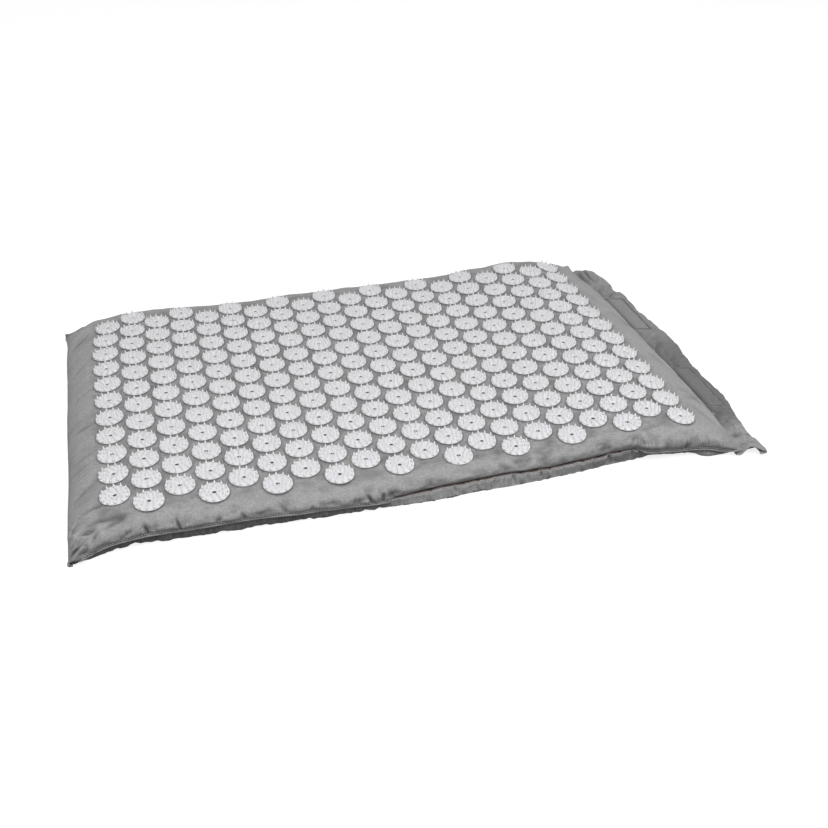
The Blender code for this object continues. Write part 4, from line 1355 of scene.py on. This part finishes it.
# %% Sew the seams and the hem
for side, low, high in (("front", -282, -28), ("front", 208, 290), ("back", -284, 288)):
    name = f"{side}_seam_stitches_{'left' if low < 0 else 'right'}"
    stitch_row(name, seam_line(side, low, high), "cover")

hem_x = np.linspace(SLIT_START + 9 * MM, SLIT_END - 9 * MM, 200)
hem = np.stack(lip_places(hem_x, 0 * hem_x + 0.8, 0 * hem_x - 0.12), axis=1)
stitch_row("lip_hem_stitches", hem, "front_lip")

# %% Sew the patch boxes
def flap_at(x, y):
    """Height of the flap's top face at places on it."""
    edge_x, _ = columns_of(FLAP_EDGE, y)
    return flap_surface((x - HINGE_X) / (edge_x - HINGE_X), y)[2]


for side, (low, high) in PATCH_BOXES.items():
    ring = [(PATCH_NEAR, low), (PATCH_FAR, low), (PATCH_FAR, high), (PATCH_NEAR, high)]
    ring.append(ring[0])
    outline = np.concatenate([np.linspace(a, b, 60)[:-1] for a, b in zip(ring, ring[1:])]) * MM
    z = flap_at(outline[:, 0], outline[:, 1]) + 0.08 * MM
    points = np.column_stack([outline, z])
    stitch_row(f"patch_box_stitches_{side}", points, "closure_flap")
bpy.data.objects.remove(stitch_form)

# %% [markdown]
# ## Light and floor
# In the photograph the slope towards the right end is brightest, the left margin is a little darker,
# and the cloth that turns in under the front seam is nearly black. The points of the discs cast
# almost no shadow. So the light is a large soft lamp, high in front of the mat, with an even and
# weaker world. Each gives its share of one unit on a level face, at which a colour renders as it is
# written.

# %% Lamp
WORLD_SHARE, LAMP_RADIUS = 0.42, 0.8
LAMP_PLACE = Vector((0.1, -1.15, 1.8))
lamp_power = (1 - WORLD_SHARE) * math.pi**2 * (LAMP_PLACE.length_squared + LAMP_RADIUS**2)
bpy.ops.object.light_add(type="AREA", location=LAMP_PLACE)
lamp = named("soft_lamp")
lamp.data.shape, lamp.data.size = "DISK", 2 * LAMP_RADIUS
lamp.data.energy = lamp_power / LAMP_PLACE.normalized().z
lamp.rotation_euler = LAMP_PLACE.to_track_quat("Z", "Y").to_euler()
print("lamp", round(lamp.data.energy, 1), "W")

# %% World
def show_and_light(nodes, seen, lighting, output):
    """Feed an output: one shader where the camera or a gloss sees it, and one for its light."""
    seeing, *others = [nodes.node("ShaderNodeLightPath", out=f"Is {kind} Ray")
                       for kind in ("Camera", "Glossy", "Transmission")]
    for ray in others:
        seeing = seeing.math("MAXIMUM", seeing, ray)
    mixed = nodes.node("ShaderNodeMixShader", sockets={0: seeing, 1: lighting, 2: seen})
    nodes.tree.links.new(mixed.socket, nodes.tree.nodes[output].inputs["Surface"])


world = bpy.data.worlds.new("studio")
bpy.context.scene.world = world
world.use_nodes = True
sky = Nodes(world.node_tree)
seen, lighting = (sky.node("ShaderNodeBackground", sockets={
    "Color": (1, 1, 1, 1), "Strength": strength}) for strength in (1.0, WORLD_SHARE))
show_and_light(sky, seen, lighting, "World Output")
print("world", WORLD_SHARE, "of the light")

# %% [markdown]
# The floor is one pale plane. A camera or a gloss sees it as white with the mat's soft shadow on it,
# while the light that it throws back on the mat is that of a light grey floor.

# %% Floor
FLOOR_SIZE, FLOOR_DROP = 12, 0.2 * MM
deselect()
bpy.ops.mesh.primitive_plane_add(size=FLOOR_SIZE, location=(0, 0, -FLOOR_DROP))
floor = named("studio_floor")
pale = Finish("pale_floor", 1.0, {"Base Color": (0.35, 0.35, 0.35, 1), "Specular IOR Level": 0.0,
                                 "Emission Color": (1, 1, 1, 1), "Emission Strength": 0.8})
grey = pale.node("ShaderNodeBsdfDiffuse", sockets={"Color": (0.15, 0.15, 0.15, 1)})
show_and_light(pale, Socket(pale, pale.shader.outputs[0]), grey, "Material Output")
floor.data.materials.append(pale.material)
print("floor", FLOOR_SIZE, "m wide")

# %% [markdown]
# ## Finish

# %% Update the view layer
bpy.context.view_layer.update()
